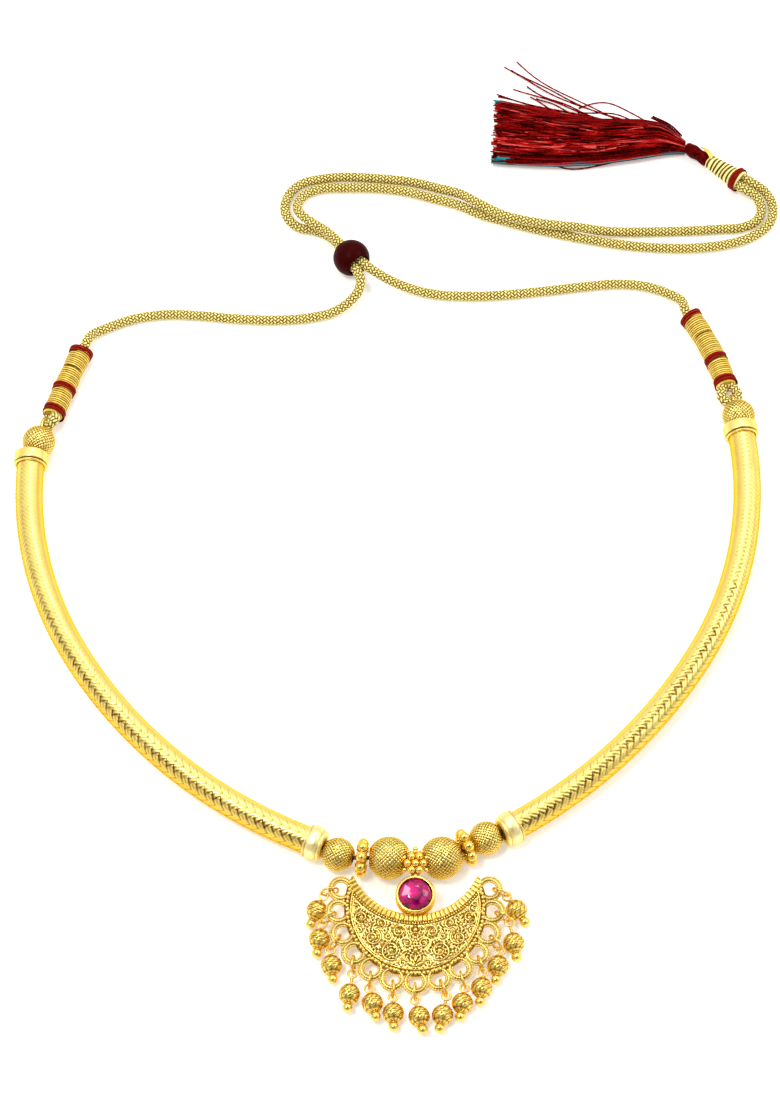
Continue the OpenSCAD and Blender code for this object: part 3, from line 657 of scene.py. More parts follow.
def ruby(context):
    """Foil-backed stone with painted reflections: cells of light and dark in each facet, and a pale
    painted reflection of the sky where a facet's shade runs high.
    """
    made = Finish("ruby", {"IOR": 1.6, "Specular IOR Level": 0.32, "Coat Weight": 0.12,
                           "Coat Roughness": 0.02, "Roughness": 0.07})
    painted_reflection_cells = node(made.tree, "TexVoronoi", None, {"Vector": made.where, "Scale": 820.0}, 1)
    # Painted reflections: the shade and the cells set each facet's brightness, and a high shade turns it to
    # the pale colour.
    light = made.shade * 0.8 + (painted_reflection_cells - 0.5) * 0.9
    body = made.blend(light, tint(context, "ruby", 0.16), tint(context, "ruby", 1.5))
    made.feed("Base Color", made.blend(made.shade * 2.2 - 3.0, body, (0.88, 0.36, 0.58)))
    return made.material


def stringing_silk():
    """Thread inside the tubes and the row."""
    made = Finish("stringing_silk", {
        "Base Color": (0.13, 0.02, 0.008, 1), "Roughness": 0.6, "Sheen Weight": 0.1})
    return made.grainy(0.3, 0.00008, 3000.0)


# What a user may change

def size_property(name, default, description):
    """Size in metres."""
    return FloatProperty(name=name, description=description, default=default, unit="LENGTH")


def count_property(name, default, description):
    """Whole number."""
    return IntProperty(name=name, description=description, default=default)


def colour_property(name, default, description):
    """Linear colour."""
    return FloatVectorProperty(name=name, description=description, default=default, subtype="COLOR")


class NecklaceSizes(bpy.types.PropertyGroup):
    """Sizes of the fine work"""
    engraving_pitch: size_property("Engraving pitch", 0.00092, "Distance between strokes along a tube")
    engraving_depth: size_property("Engraving depth", 0.00014, "Depth of the strokes on a tube")
    engraving_columns: count_property("Engraving columns", 12, "Columns of strokes around a tube")
    grain_count: count_property("Grains around a large bead", 31, "Number of grains around the middle")
    braid_pitch: size_property("Braid pitch", 0.00065, "Distance between crossings along the cord")
    braid_depth: size_property("Braid depth", 0.0002, "Depth between the cord's stitches")
    winding_pitch: size_property("Winding pitch", 0.00046, "Distance between turns of the windings")
    tassel_threads: count_property("Tassel threads", 760, "Number of threads in the skirt")


class NecklaceColours(bpy.types.PropertyGroup):
    """Colours of the metal, threads and stone"""
    gold: colour_property("Gold", (1.0, 0.80, 0.235), "Tops of the engraved gold")
    # On the tubes the warm tone of the sides is painted shade.
    gold_warm: colour_property("Warm gold", (0.92, 0.57, 0.085), "Burnished sides")
    gold_deep: colour_property("Gold in the cuts", (0.12, 0.04, 0.001), "Bottoms of the cuts")
    pale_gold: colour_property("Pale gold", (1.0, 0.88, 0.44), "Smooth end caps")
    filigree: colour_property("Filigree", (1.0, 0.80, 0.255), "Wires of the pendant and drops")
    filigree_deep: colour_property("Filigree ground", (0.13, 0.045, 0.002), "Ground between the wires")
    zari: colour_property("Braid", (1.0, 0.80, 0.215), "Gold thread of the cords")
    zari_deep: colour_property("Braid gaps", (0.075, 0.024, 0.001), "Between the stitches")
    winding: colour_property("Winding", (0.96, 0.66, 0.105), "Gold thread of the windings")
    winding_deep: colour_property("Winding gaps", (0.07, 0.02, 0.001), "Between the turns")
    red_thread: colour_property("Red bands", (0.40, 0.016, 0.006), "Red thread bands")
    silk: colour_property("Silk", (0.56, 0.008, 0.008), "Red silk of the tassel")
    silk_deep: colour_property("Silk shadow", (0.010, 0.0, 0.0), "Dark threads of the silk")
    teal: colour_property("Teal silk", (0.02, 0.24, 0.29), "Teal threads in the tassel")
    teal_deep: colour_property("Teal shadow", (0.002, 0.01, 0.014), "Dark threads of the teal silk")
    maroon: colour_property("Maroon", (0.030, 0.0004, 0.0008), "Sliding bead")
    ruby: colour_property("Ruby", (0.46, 0.001, 0.13), "Round stone")


# Stage

# The camera's place and the point that it looks at in metres, the height of its view and its focal
# length in pixels, and its sensor in millimetres
CAMERA_AT, CAMERA_TARGET = (0.0004, -0.5453, 0.9621), (0.0004, -0.012, 0.0)
VIEW_HEIGHT, FOCAL_LENGTH, SENSOR = 1108, 5720, 36.0
FLOOR_HALF = 3.0
# Name, place in metres, width, power and colour of each lamp
LAMPS = (
    ("key_light", (-0.33, -0.17, 1.0), 0.3, 5.2, (1.0, 0.985, 0.96)),
    ("fill_light", (0.75, 0.1, 0.75), 0.5, 2.6, (1.0, 1.0, 1.0)),
    ("top_light", (0.1, 0.6, 1.1), 0.35, 2.2, (1.0, 1.0, 1.0)),
)


def add_floor(scene):
    """Pale floor that glows a little, as under a light tent."""
    h = FLOOR_HALF
    mesh = bpy.data.meshes.new("floor")
    mesh.from_pydata([(-h, -h, 0), (h, -h, 0), (h, h, 0), (-h, h, 0)], [], [(0, 1, 2, 3)])
    mesh.materials.append(Finish("pale_floor", {
        "Base Color": (0.93, 0.925, 0.915, 1), "Roughness": 0.8, "Specular IOR Level": 0.1,
        "Emission Color": (1.0, 0.995, 0.985, 1), "Emission Strength": 0.3}).material)
    floor = bpy.data.objects.new("floor", mesh)
    scene.collection.objects.link(floor)


def add_lamps(scene):
    """Round lamps that shine on the middle of the necklace."""
    for title, at, width, power, hue in LAMPS:
        lamp = bpy.data.lights.new(title, "AREA")
        lamp.shape, lamp.size, lamp.energy, lamp.color = "DISK", width, power, hue
        light = bpy.data.objects.new(title, lamp)
        light.location = at
        light.rotation_euler = (-Vector(at)).to_track_quat("-Z", "Y").to_euler()
        scene.collection.objects.link(light)


def studio():
    """A white tent, brighter behind and above, with a dark opening in its front wall."""
    world = bpy.data.worlds.new("studio")
    world.use_nodes = True
    tree = world.node_tree
    way = node(tree, "TexCoord", output="Generated")
    behind, front = [
        node(tree, "VectorMath", {"operation": "DOT_PRODUCT"}, {0: way, 1: axis}, 1)
        for axis in ((0, 0.5, 0.866), (0, -0.485, 0.875))]
    opening = node(tree, "MapRange", {"interpolation_type": "SMOOTHSTEP"}, {
        "Value": front, "From Min": 0.83, "From Max": 0.96})
    wall = blend_colours(tree, behind * 0.6 + 0.4, (0.42, 0.40, 0.37), (1.0, 0.99, 0.97))
    shown = blend_colours(tree, opening, wall, (0.07, 0.055, 0.04))
    tree.links.new(shown.socket, tree.nodes["Background"].inputs["Color"])
    return world


def add_camera(scene):
    """Camera at the photograph's angle, without shift."""
    data = bpy.data.cameras.new("camera")
    data.sensor_width = SENSOR
    data.lens = FOCAL_LENGTH * SENSOR / VIEW_HEIGHT
    data.clip_start, data.clip_end = 0.05, 20.0
    camera = bpy.data.objects.new("camera", data)
    camera.location = CAMERA_AT
    camera.rotation_euler = (Vector(CAMERA_TARGET) - camera.location).to_track_quat("-Z", "Y").to_euler()
    scene.collection.objects.link(camera)
    scene.camera = camera


class NECKLACE_OT_stage(bpy.types.Operator):
    """Pale floor, soft light and the camera"""
    bl_idname = "necklace.stage"
    bl_label = "Stage"

    def execute(self, context):
        scene = context.scene
        add_floor(scene)
        add_lamps(scene)
        scene.world = studio()
        add_camera(scene)
        scene.view_settings.view_transform = "Standard"
        return {"FINISHED"}


# Cords and their ends

def winding_line(end, start, stop, step):
    """Bowed line of a winding: start + bow (n - n turned), where n is the side the bow's centre is on.
    Gives its points and its heading at the last one."""
    s = np.linspace(start, stop, max(2, int(round((stop - start) / step)) + 1))
    across = end.heading + 90
    turn = np.degrees(s / end.bow)
    flat = np.array(end.start)[:, None] + end.bow * (compass(across)[:, None] - compass(across + turn))
    return np.concatenate((flat.T, np.full((len(s), 1), BINDING_Z)), 1), end.heading + turn[-1]


def cord_line(side):
    """Route of a cord from its winding to the tassel's head, square to both end faces."""
    line, heading = winding_line(CORD_ENDS[side], 0.0, CORD_ENDS[side].length, 0.1)
    way, out = towards(heading), line[-1]
    w, n = towards(TASSEL_HEADING, TASSEL_CLIMB), towards(TASSEL_HEADING + 90)
    offset = (CORD_R + 0.08) * (1 if side == "left" else -1)
    last = np.array(TASSEL_AT) + offset * n
    first, end = (out + 0.03 * way, out + ENTRY_LEN * way), (last - ENTRY_LEN * w, last - 0.03 * w)
    return smooth_route((*first, *ROUTES[side], *end), 0.12)


class NECKLACE_OT_cords(bpy.types.Operator):
    """Two braided cords"""
    bl_idname = "necklace.cords"
    bl_label = "Cords"

    def execute(self, context):
        """Tube along the route, deepest between the braid's stitches."""
        sizes = context.scene.necklace_sizes
        columns = 56
        for side in SIDES:
            path = cord_line(side)
            s, a = lengths_along(path)[:, None], around(columns)
            ridge = braid(s, a, sizes.braid_pitch / MM)
            r = CORD_R - sizes.braid_depth / MM * (1 - ridge)
            cord = Shape().grid(swept(path, r, columns), ridge, 0.5 + 0.25 * np.sin(s * 7.3 + a)).piece(
                "braided_cord_" + side, gold_braid(context), "zari", "cord_" + side)
        return {"FINISHED"}


def end_loop(context, side, end):
    """Braided loop through the back bead's ring: a half circle whose legs run into the winding."""
    ring = np.array((*end.bead, CAP_Z)) + RING_SEAT * towards(end.ring_heading, end.ring_climb)
    way = np.array((*end.start, BINDING_Z)) - ring
    reach = np.linalg.norm(way)
    heading = math.degrees(math.atan2(way[1], way[0]))
    climb = math.degrees(math.asin(way[2] / reach))
    a = np.radians(np.linspace(-90, -270, 7))
    bend = np.stack((END_LOOP_R + END_LOOP_R * np.cos(a), END_LOOP_R * np.sin(a), 0 * a), -1)
    near, far = [[(reach - LOOP_GAP + x, k * y, 0) for x, y in LOOP_LEGS] for k in (-1, 1)]
    loop = smooth_route(np.concatenate((near, bend, far[::-1])), 0.13)
    columns = 48
    ridge = braid(
        lengths_along(loop)[:, None], around(columns), context.scene.necklace_sizes.braid_pitch / MM)
    tube = swept(loop, STRAND_R - 0.16 * (1 - ridge), columns)
    Shape().grid(placed(tube, ring, heading, climb, end.roll), ridge).piece(
        "cord_loop_" + side, gold_braid(context), "zari", "end_loop_" + side)


def winding(context, side, end):
    """Turns of gold thread, one pitch apart, on a flattened and slightly wavy tube. They part at two
    places. The strands go into one end, and the other closes around the cord."""
    columns = 40
    line, _ = winding_line(end, 0.0, end.length, 0.07)
    s, a = lengths_along(line)[:, None], around(columns)
    turns = s / (context.scene.necklace_sizes.winding_pitch / MM) + a / TURN
    ridge = ribs(turns, 0.85)
    shade = 0.5 + 0.35 * np.sin(np.floor(turns) * 2.4)
    gap = hump(s, 0.68 * end.length, 0.16) * ease(0.2, 0.9, np.sin(a))
    gap = gap + 0.7 * hump(s, 0.32 * end.length, 0.1) * ease(0.3, 0.9, np.sin(a + 0.6))
    rounding = 0.35 * (1 - ease(0, 0.4, np.minimum(s, s[-1] - s)))
    r = BINDING_R - 0.12 * (1 - ridge) - 0.2 * gap - rounding - 0.05 * (1 + np.sin(2 * a + 1.3 * s))
    wall = np.concatenate((
        swept(line, 0.3, columns)[:1], swept(line, 1.45, columns)[1:2], swept(line, r, columns),
        swept(line, CORD_R, columns)[-1:]))
    mouth = np.full((2, columns), 0.7)
    Shape().grid(wall, np.concatenate((mouth, ridge * (1 - 0.95 * gap), mouth[:1])),
                 np.concatenate((mouth, shade, mouth[:1]))).piece(
        "gold_winding_" + side, gold_winding(context), "zari", "binding_" + side)


def red_bands(context, side, end):
    """Three bands of four turns each. Every turn wavers, and each band leans a little its own way."""
    bands, columns = Shape(), 40
    a = around(columns)
    for number, begin in enumerate((0.2, 5.4, end.length - BAND_W - 0.2)):
        line, _ = winding_line(end, begin, begin + BAND_W, 0.045)
        s = lengths_along(line)[:, None]
        turns = s / (BAND_W / 4) + 0.22 * np.sin(a + 2 * number) + 0.12 * np.sin(3 * a + number)
        ridge = ribs(turns, 0.7)
        r = BAND_R - 0.16 * (1 - ridge) - 0.07 * (1 + np.sin(2 * a + number + 2 * s))
        lean = 0.2 * np.cos(a - 0.8 - number)[:, None] * ways_of(line)[0][:, None]
        wall = np.concatenate((
            swept(line, r, columns) + lean, (swept(line, BINDING_R - 0.1, columns) + lean)[::-1]))
        shade = 0.45 + 0.4 * np.sin(np.floor(turns) * 2.6 + number)
        bands.grid(wall, np.concatenate((ridge, 0 * ridge)), np.concatenate((shade, shade)), loop=True)
    if side == "right":
        knot = ball(0.6, 10, 14) * (1.3, 1, 0.9)
        bands.grid(placed(knot, (59.4, 39.2, 2.3), 60), 0.8, 0.6)
    bands.piece("red_band_" + side, red_winding(context), "red_thread", "red_bands_" + side)


class NECKLACE_OT_cord_ends(bpy.types.Operator):
    """Loops, windings and red bands at the cord's ends"""
    bl_idname = "necklace.cord_ends"
    bl_label = "Cord ends"

    def execute(self, context):
        for side in SIDES:
            for make in (end_loop, winding, red_bands):
                make(context, side, CORD_ENDS[side])
        return {"FINISHED"}


class NECKLACE_OT_slider(bpy.types.Operator):
    """Sliding bead that both cords pass"""
    bl_idname = "necklace.slider"
    bl_label = "Sliding bead"

    def execute(self, context):
        """Sphere about the bore with 72 fine turns that slant from end to end."""
        columns, rows = 144, 60
        edge = math.asin(SLIDER_BORE / SLIDER_R)
        lat, lon = np.linspace(edge, np.pi - edge, rows)[:, None], around(columns)
        ridge = np.abs(np.sin(lon * 36 + lat * 1.5)) ** 0.6
        r = SLIDER_R - 0.025 * (1 - ridge)
        half = SLIDER_R * math.cos(edge)
        bore = np.array((half - 0.3, 0.0, 0.3 - half))[:, None] + 0 * lon
        x = np.concatenate((-r * np.cos(lat), bore))
        y = np.concatenate((r * np.sin(lat), 0 * bore + SLIDER_BORE - 0.05))
        bead = placed(turned(x, y, columns), SLIDER_AT, SLIDER_HEADING, SLIDER_CLIMB)
        Shape().grid(bead, np.concatenate((ridge, 0 * bore + 0.2)), loop=True).piece(
            "slider", maroon_bead(context), "slider", "slider_bead")
        return {"FINISHED"}


# Tassel

def in_tassel(points):
    """From the tassel's own frame, whose X axis runs down its middle, to the necklace's."""
    return placed(points, TASSEL_AT, TASSEL_HEADING, TASSEL_CLIMB)


def tassel_head(context):
    """Cone of wavering turns, 0.84 mm apart, with rounded ends."""
    columns = 48
    x, a = np.arange(0, HEAD_LEN + 0.001, 0.06)[:, None], around(columns)
    turns = x / 0.84 + a / TURN
    turns = turns + 0.12 * np.sin(2 * a + 1.1 * x) + 0.08 * np.sin(3.1 * x)
    ridge = np.clip(1.55 * ribs(turns) - 0.55, 0, 1) ** 0.7
    r = HEAD_R + (HEAD_TIP_R - HEAD_R) * x / HEAD_LEN - 0.17 * (1 - ridge)
    r = r - 0.3 * (1 - ease(0, 0.35, np.minimum(x, HEAD_LEN - x)))
    shade = 0.5 + 0.3 * np.sin(np.floor(turns) * 2.1)
    Shape().grid(in_tassel(turned(x, r, columns)), ridge, shade).piece(
        "tassel_head", gold_braid(context), "zari", "tassel_binding")


def tassel_band(context):
    """Four turns of red thread, pressed closer together on one side."""
    columns = 48
    x, a = np.linspace(0.1, 1.7, 33)[:, None], around(columns)
    ridge = ribs((x - 0.1) / 0.4, 0.7) + 0 * a
    width = 0.82 + 0.18 * np.sin(a + 2.6)
    outer = turned(0.9 + (x - 0.9) * width, HEAD_BAND_R - 0.1 * (1 - ridge), columns)
    inner = turned(0.9 + (x[::-1] - 0.9) * width, HEAD_R + 0.07 + 0 * x, columns)
    ridges = np.concatenate((ridge, 0 * ridge))
    Shape().grid(in_tassel(np.concatenate((outer, inner))), ridges, 0.5, loop=True).piece(
        "tassel_band", red_winding(context), "red_thread", "tassel_red_band")


def tassel_neck(context):
    """Neck with two threads wound around it side by side."""
    columns = 48
    x, a = np.linspace(0, NECK_LEN, 80)[:, None], around(columns)
    ridge = ribs(x / 0.5 + a / TURN * 2, 0.8)
    rounding = 0.25 * (1 - ease(0, 0.3, np.minimum(x, NECK_LEN - x)))
    r = NECK_R * (1 + 0.08 * np.sin(x * 2.2)) - 0.12 * (1 - ridge) - rounding
    Shape().grid(in_tassel(turned(NECK_START + x, r, columns)), ridge, 0.15).piece(
        "tassel_neck_wrap", red_silk(context), "silk", "tassel_neck")


def loose_gold_thread(context):
    """Four loose threads that leave the head, arch over the neck and swing around it."""
    extra, t = Shape(), np.linspace(0, 1, 40)
    for k, (begin, swing, shade) in enumerate(LOOSE_GOLD):
        angle, reach = begin + swing * t, 1.5 + 0.12 * (k % 2) + 0.25 * np.sin(np.pi * t)
        along = NECK_START - 0.9 + (3.6 - 0.4 * k) * t
        line = in_tassel(np.stack((along, reach * np.cos(angle), reach * np.sin(angle)), -1))
        extra.grid(swept(line, LOOSE_R, 6), 1.0, shade)
    extra.piece("loose_gold_thread", gold_winding(context), "zari")


def skirt_point(share, across, height):
    """Point of the skirt: share of its length, and places across and up its section from -1 to 1."""
    start = np.array(TASSEL_AT) + (NECK_START + NECK_LEN + 0.3) * towards(TASSEL_HEADING, TASSEL_CLIMB)
    half_w, high, shift = (np.interp(share, SKIRT[:, 0], SKIRT[:, k]) for k in (1, 2, 3))
    lift = np.where(height < 0, 0.42, 0.58)
    x = share * SKIRT_LEN
    y = shift + half_w * SKIRT_W / 2 * across
    z = 0.05 + high * SKIRT_H * (0.42 + lift * height)
    way, side = compass(SKIRT_HEADING), compass(SKIRT_HEADING + 90)
    return np.stack((start[0] + x * way[0] + y * side[0], start[1] + x * way[1] + y * side[1], z + 0 * x), -1)


def tassel_skirt_core(context):
    """Bundle inside the single threads: the skirt's section, made smaller, with 60 wavering strands.
    Its low shade makes it nearly black, painted shade inside the bundle.
    """
    share, a = np.linspace(0, 0.94, 60)[:, None], around(72)
    groove = np.abs(np.sin(a * 30 + 2 * np.sin(share * 5))) ** 0.7
    full = CORE_SHARE + 0.05 * groove
    Shape().grid(skirt_point(share + 0 * a, full * np.cos(a), full * np.sin(a)), groove * 0.8, 0.12).piece(
        "tassel_skirt_core", red_silk(context), "silk", "tassel_skirt")


def skirt_lines(rng, count, low, high, spread, inner=0.84, outer=1.0, first=0.0):
    """Lines of single threads, and the angle of each around the skirt. A thread drifts around it by a
    sum of two sines, starts near the share called first and ends near the skirt's end. One that lies
    outside the skirt's section leaves it over the first quarter of its length. None dips into the
    surface."""
    angle = rng.uniform(low, high, count)
    radius = (outer - (outer - inner) * rng.random(count) ** 1.5)[:, None]
    uneven = 0.962 + 0.012 * np.sin(13 * angle) + 0.01 * np.sin(29 * angle + 1)
    ends = uneven + rng.uniform(-0.022, 0.016, count)
    wave, phase = rng.normal(0, spread, count)[:, None], rng.uniform(0, TURN, count)[:, None]
    starts = rng.uniform(0.94, 1.02, count)
    share = np.linspace(first * starts, ends, THREAD_POINTS, axis=1)
    drift = wave * (np.sin(share * 4 + phase) + 0.2 * np.sin(share * 17 + 3 * phase)) * ease(0.05, 0.6, share)
    wide = np.where(radius > 1, 1 + (radius - 1) * ease(0.0, 0.25, share), radius)
    at = angle[:, None] + drift
    lines = skirt_point(np.minimum(share, 1.0), wide * np.cos(at), wide * np.sin(at))
    lines[..., :2] += np.maximum(share - 1, 0)[..., None] * SKIRT_LEN * compass(SKIRT_HEADING)
    lines[..., 2] = np.maximum(lines[..., 2], 0.17)
    return lines, angle


def thread_tubes(shape, lines, r, shades):
    """Adds a thin tube along each line; its section's corners stand sideways and upwards."""
    for line, shade in zip(lines, shades):
        shape.grid(swept(line, r, 4), 1.0, shade)


def tassel_skirt(context):
    """Red threads all around in clumps of light and dark, more at both edges, and teal ones."""
    rng = np.random.default_rng(7)
    count = context.scene.necklace_sizes.tassel_threads
    lines, angle = skirt_lines(rng, count, 0, TURN, 0.16)
    clumps = 0.34 + 0.34 * np.sin(angle * 9 + 1.3) * np.sin(angle * 4) + 0.14 * np.sin(angle * 23)
    shades = np.clip(clumps + rng.normal(0, 0.3, count), 0, 1.15)
    # Each thread's shade wavers along it; where it runs high it takes the light colour, a painted sheen.
    flecks_and_sheen = 0.34 * np.sin(np.linspace(0, 29, THREAD_POINTS)[:, None] + 40 * shades) - 0.12
    red = Shape()
    thread_tubes(red, lines, THREAD_R, np.clip(shades + flecks_and_sheen, 0, 1.15).T[:, :, None])
    for low, high, number in EDGE_THREADS:
        lines, _ = skirt_lines(rng, number, low, high, 0.12, 1.0, 1.1)
        thread_tubes(red, lines, EDGE_THREAD_R, rng.random(number) ** 2 * 0.7)
    red.piece("tassel_skirt_threads", red_silk(context), "silk")
    teal = Shape()
    for low, high, number, inner, outer, first in TEAL_THREADS:
        lines, _ = skirt_lines(rng, number, low, high, 0.04, inner, outer, first)
        thread_tubes(teal, lines, EDGE_THREAD_R, rng.random(number))
    teal.piece("tassel_teal_threads", teal_silk(context), "silk")


def stray_threads(context):
    """Twisted threads beside the skirt. Each is the quadratic curve from its root to its tip that its
    bend pulls, with a small wave. A short stub of two threads stands off where the skirt begins."""
    strays, t = Shape(), np.linspace(0, 1, 26)[:, None]
    for number, (root, bend, tip) in enumerate(STRAYS):
        line = (1 - t) ** 2 * root + 2 * t * (1 - t) * bend + t * t * tip
        line[:, :2] += 0.18 * np.sin(t * (7 + number % 4) + number)
        line = evenly(line, 0.35)
        plies = 0.3 + 0.3 * np.sin(lengths_along(line)[:, None] * TURN / 1.7 + number) - 0.05 * (number % 4)
        strays.grid(swept(line, STRAY_R, 6), 1.0, plies)
    for off in (-0.16, 0.16):
        strays.grid(swept(smooth_route(STUB + (off, off, 0), 0.5), STUB_R, 6), 1.0, 0.1)
    strays.piece("stray_threads", red_silk(context), "silk")


class NECKLACE_OT_tassel(bpy.types.Operator):
    """Wound head, red band, neck and silk skirt"""
    bl_idname = "necklace.tassel"
    bl_label = "Tassel"

    def execute(self, context):
        for make in (tassel_head, tassel_band, tassel_neck, loose_gold_thread, tassel_skirt_core,
                     tassel_skirt, stray_threads):
            make(context)
        return {"FINISHED"}


# Tubes, caps and beads

def tube_line(side):
    """Two arcs that share a tangent: the front arc's centre lies on the line through the join.
    Gives the middle line and the vectors towards each arc's centre."""
    centre, back_r, front_r, back_a, join_a, front_a = TUBES[side]
    centre, step = np.array(centre), 0.108
    front_centre = centre + (back_r - front_r) * compass(join_a)
    n_back = int(back_r * abs(math.radians(join_a - back_a)) / step)
    n_front = int(front_r * abs(math.radians(front_a - join_a)) / step)
    back = compass(np.linspace(back_a, join_a, n_back, endpoint=False))
    front = compass(np.linspace(join_a, front_a, n_front))
    flat = np.concatenate(((centre[:, None] + back_r * back).T, (front_centre[:, None] + front_r * front).T))
    inward = -np.concatenate((back.T, front.T))
    zero = np.zeros((len(flat), 1))
    return np.concatenate((flat, zero + CAP_Z), 1), np.concatenate((inward, zero), 1)


def tube_end(side, which):
    """Middle and outward heading of one end of a tube."""
    path, _ = tube_line(side)
    a, b = (path[0], path[1]) if which == "back" else (path[-1], path[-2])
    return a, math.degrees(math.atan2(*(a - b)[1::-1]))


class NECKLACE_OT_tubes(bpy.types.Operator):
    """Engraved neck tubes"""
    bl_idname = "necklace.tubes"
    bl_label = "Neck tubes"

    def execute(self, context):
        """Every second stroke is longer and deeper than the one between. A dark zigzag runs along the
        seam between two columns of strokes, stronger towards the front. The inner side is almost smooth.
        Near the seam the cuts are deeper and darker, partly engraving and partly a painted reflection of
        the tent's dark opening. The warm sides and pale top are painted shade."""
        sizes = context.scene.necklace_sizes
        strokes, pitch = sizes.engraving_columns, sizes.engraving_pitch / MM
        a = around(strokes * 7)
        for side in SIDES:
            path, inward = tube_line(side)
            s = lengths_along(path)[:, None]
            along = s / s[-1]
            middle, drift = SEAM[side]
            off = a - middle - drift * ease(0.65, 1.0, along)
            from_seam = off + TURN / 4
            long_cuts = 1 - chevrons(s, from_seam, 2 * pitch, strokes, 0.85, 4.0)
            deep = 1 - (0.35 + 0.65 * ease(0.2, 0.6, along)) * long_cuts
            cuts = np.minimum(deep, 0.4 + 0.6 * chevrons(s, from_seam, pitch, strokes, 1.7, 2.0))
            zigzag = hump(off, 0.42 * (wedge(s / pitch / 2) - 0.5), 0.11)
            patchy = ease(0.1, 0.45, along) * (0.75 + 0.25 * np.sin(0.9 * s) * np.sin(0.37 * s + 1))
            seam = zigzag * patchy
            from_inside = np.minimum(a, TURN - a)
            near_seam = hump(off, 0, 0.42)
            # Near the seam the cuts bite deeper and go darker: partly engraving, partly a painted dark
            # reflection.
            seam_cuts_and_painted_dark = 0.68 + 0.26 * near_seam * ease(0.05, 0.4, along)
            cut_in = 0.06 + ease(0.95, 1.4, from_inside) * seam_cuts_and_painted_dark
            # Its last term darkens the cuts near the seam in colour only, a painted dark reflection.
            ridge = (1 - (1 - cuts) * cut_in) * (1 - seam) - 0.25 * near_seam * patchy * (1 - cuts)
            # Painted shade: the tube's inner and outer sides take the warm tone, its top the pale one.
            shade = ease(0.5, 1.2, from_inside) * ease(2.9, 2.2, from_inside) + 0 * s
            r = (TUBE_R - sizes.engraving_depth / MM * np.maximum((1 - cuts) * cut_in, seam))[..., None]
            up = np.array((0, 0, 1.0))
            p = path[:, None] + r * (inward[:, None] * np.cos(a)[:, None] + up * np.sin(a)[:, None])
            Shape().grid(p, np.clip(ridge, 0, 1), shade).piece(
                "engraved_tube_" + side, engraved_gold(context), "gold", "tube_" + side)
        return {"FINISHED"}


def end_cap(context, side, which):
    """Turned cap with a row of 46 dots on its edge and a dark line beside them. A front cap has a
    second dark line before its neck."""
    columns, is_front = 120, which == "front"
    line = np.array(CAPS[which])
    dense = evenly(np.concatenate((line, np.zeros((len(line), 1))), 1), 0.09)
    x, r, a = dense[:, :1], dense[:, 1:2], around(columns)
    band = hump(x, 0.2, 0.14) * (r > 2.9)
    dots = np.abs(np.sin(a * 23))
    dark_line = (0.35 if is_front else 1.3) * hump(x, 0.49, 0.12) * (r > 2.85)
    ridge = 1 - band * (1 - dots ** 0.9) - dark_line
    if is_front:
        ridge = ridge - 0.7 * hump(x, 2.67, 0.06) * (r > 2.6)
    shade = (0.85 if is_front else 0.1) + 0.18 * np.sin(21 * x) * np.sin(8 * x + 1)
    at, heading = tube_end(side, which)
    cap = turned(x, r - 0.07 * band * (1 - dots), columns)
    Shape().grid(placed(cap, at - CAP_OVERLAP * towards(heading), heading), np.clip(ridge, 0, 1), shade,
                 loop=True).piece(
        f"{which}_cap_polished_{side}", polished_gold(context), "pale_gold", f"{which}_cap_{side}")


class NECKLACE_OT_caps(bpy.types.Operator):
    """End caps, smooth with a carved edge"""
    bl_idname = "necklace.caps"
    bl_label = "End caps"

    def execute(self, context):
        for side in SIDES:
            for which in ("front", "back"):
                end_cap(context, side, which)
        return {"FINISHED"}


def row_bead(context, word, side, place, bead, r):
    """Granulated bead of the front row that touches the surface."""
    at, heading = place
    p, ridge = bead
    Shape().grid(placed(p, (*at, r), heading), ridge, 0.85, loop=True).piece(
        f"granulated_{word}_{side}", granulated_gold(context), "gold", f"{word}_bead_{side}")


def spacer(context, side, place):
    """Hub with a ring of large granules and small grains before and behind each."""
    at, heading = place
    flower = Shape().grid(turned(*profile_of(SPACER_HUB), 48), 0.5, loop=True)
    for k in range(GRANULES):
        y, z = SPACER_RING * compass(360 * (k + 0.5) / GRANULES)
        flower.grid(ball(GRANULE_R, 18, 28) + (0, y, z), 1.0)
        for x in (-0.78, 0.78):
            flower.grid(ball(0.34, 8, 12) + (x, y * 0.74, z * 0.74), 0.8)
    flower.move(lambda p: placed(p, (*at, SPACER_Z), heading)).piece(
        "granule_spacer_" + side, granulated_gold(context), "gold", "flower_spacer_" + side)


def back_bead(context, side, count):
    """Sphere with rows of grains, flat where it meets the tube's cap, and its soldered wire ring."""
    end = CORD_ENDS[side]
    middle = np.array((*end.bead, CAP_Z))
    out = middle - tube_end(side, "back")[0]
    columns = count * 6
    lat = np.linspace(0.04, np.pi - 0.25, 80)[:, None]
    grain = knurl(lat, around(columns), count)
    r = SMALL_R - 0.16 * (1 - grain)
    bead = turned(r * np.cos(lat), r * np.sin(lat), columns)
    Shape().grid(placed(bead, middle, math.degrees(math.atan2(out[1], out[0]))), grain, 0.85).piece(
        "granulated_back_" + side, granulated_gold(context), "gold", "back_bead_" + side)
    ring = wire_ring(END_RING_R, END_WIRE_R, 48, 14) @ turn_matrix(0, 0, 90).T + (RING_SEAT, 0, 0)
    Shape().grid(placed(ring, middle, end.ring_heading, end.ring_climb, end.roll), 0.9, loop=True).piece(
        "cord_ring_" + side, engraved_gold(context), "gold", "back_bead_" + side)


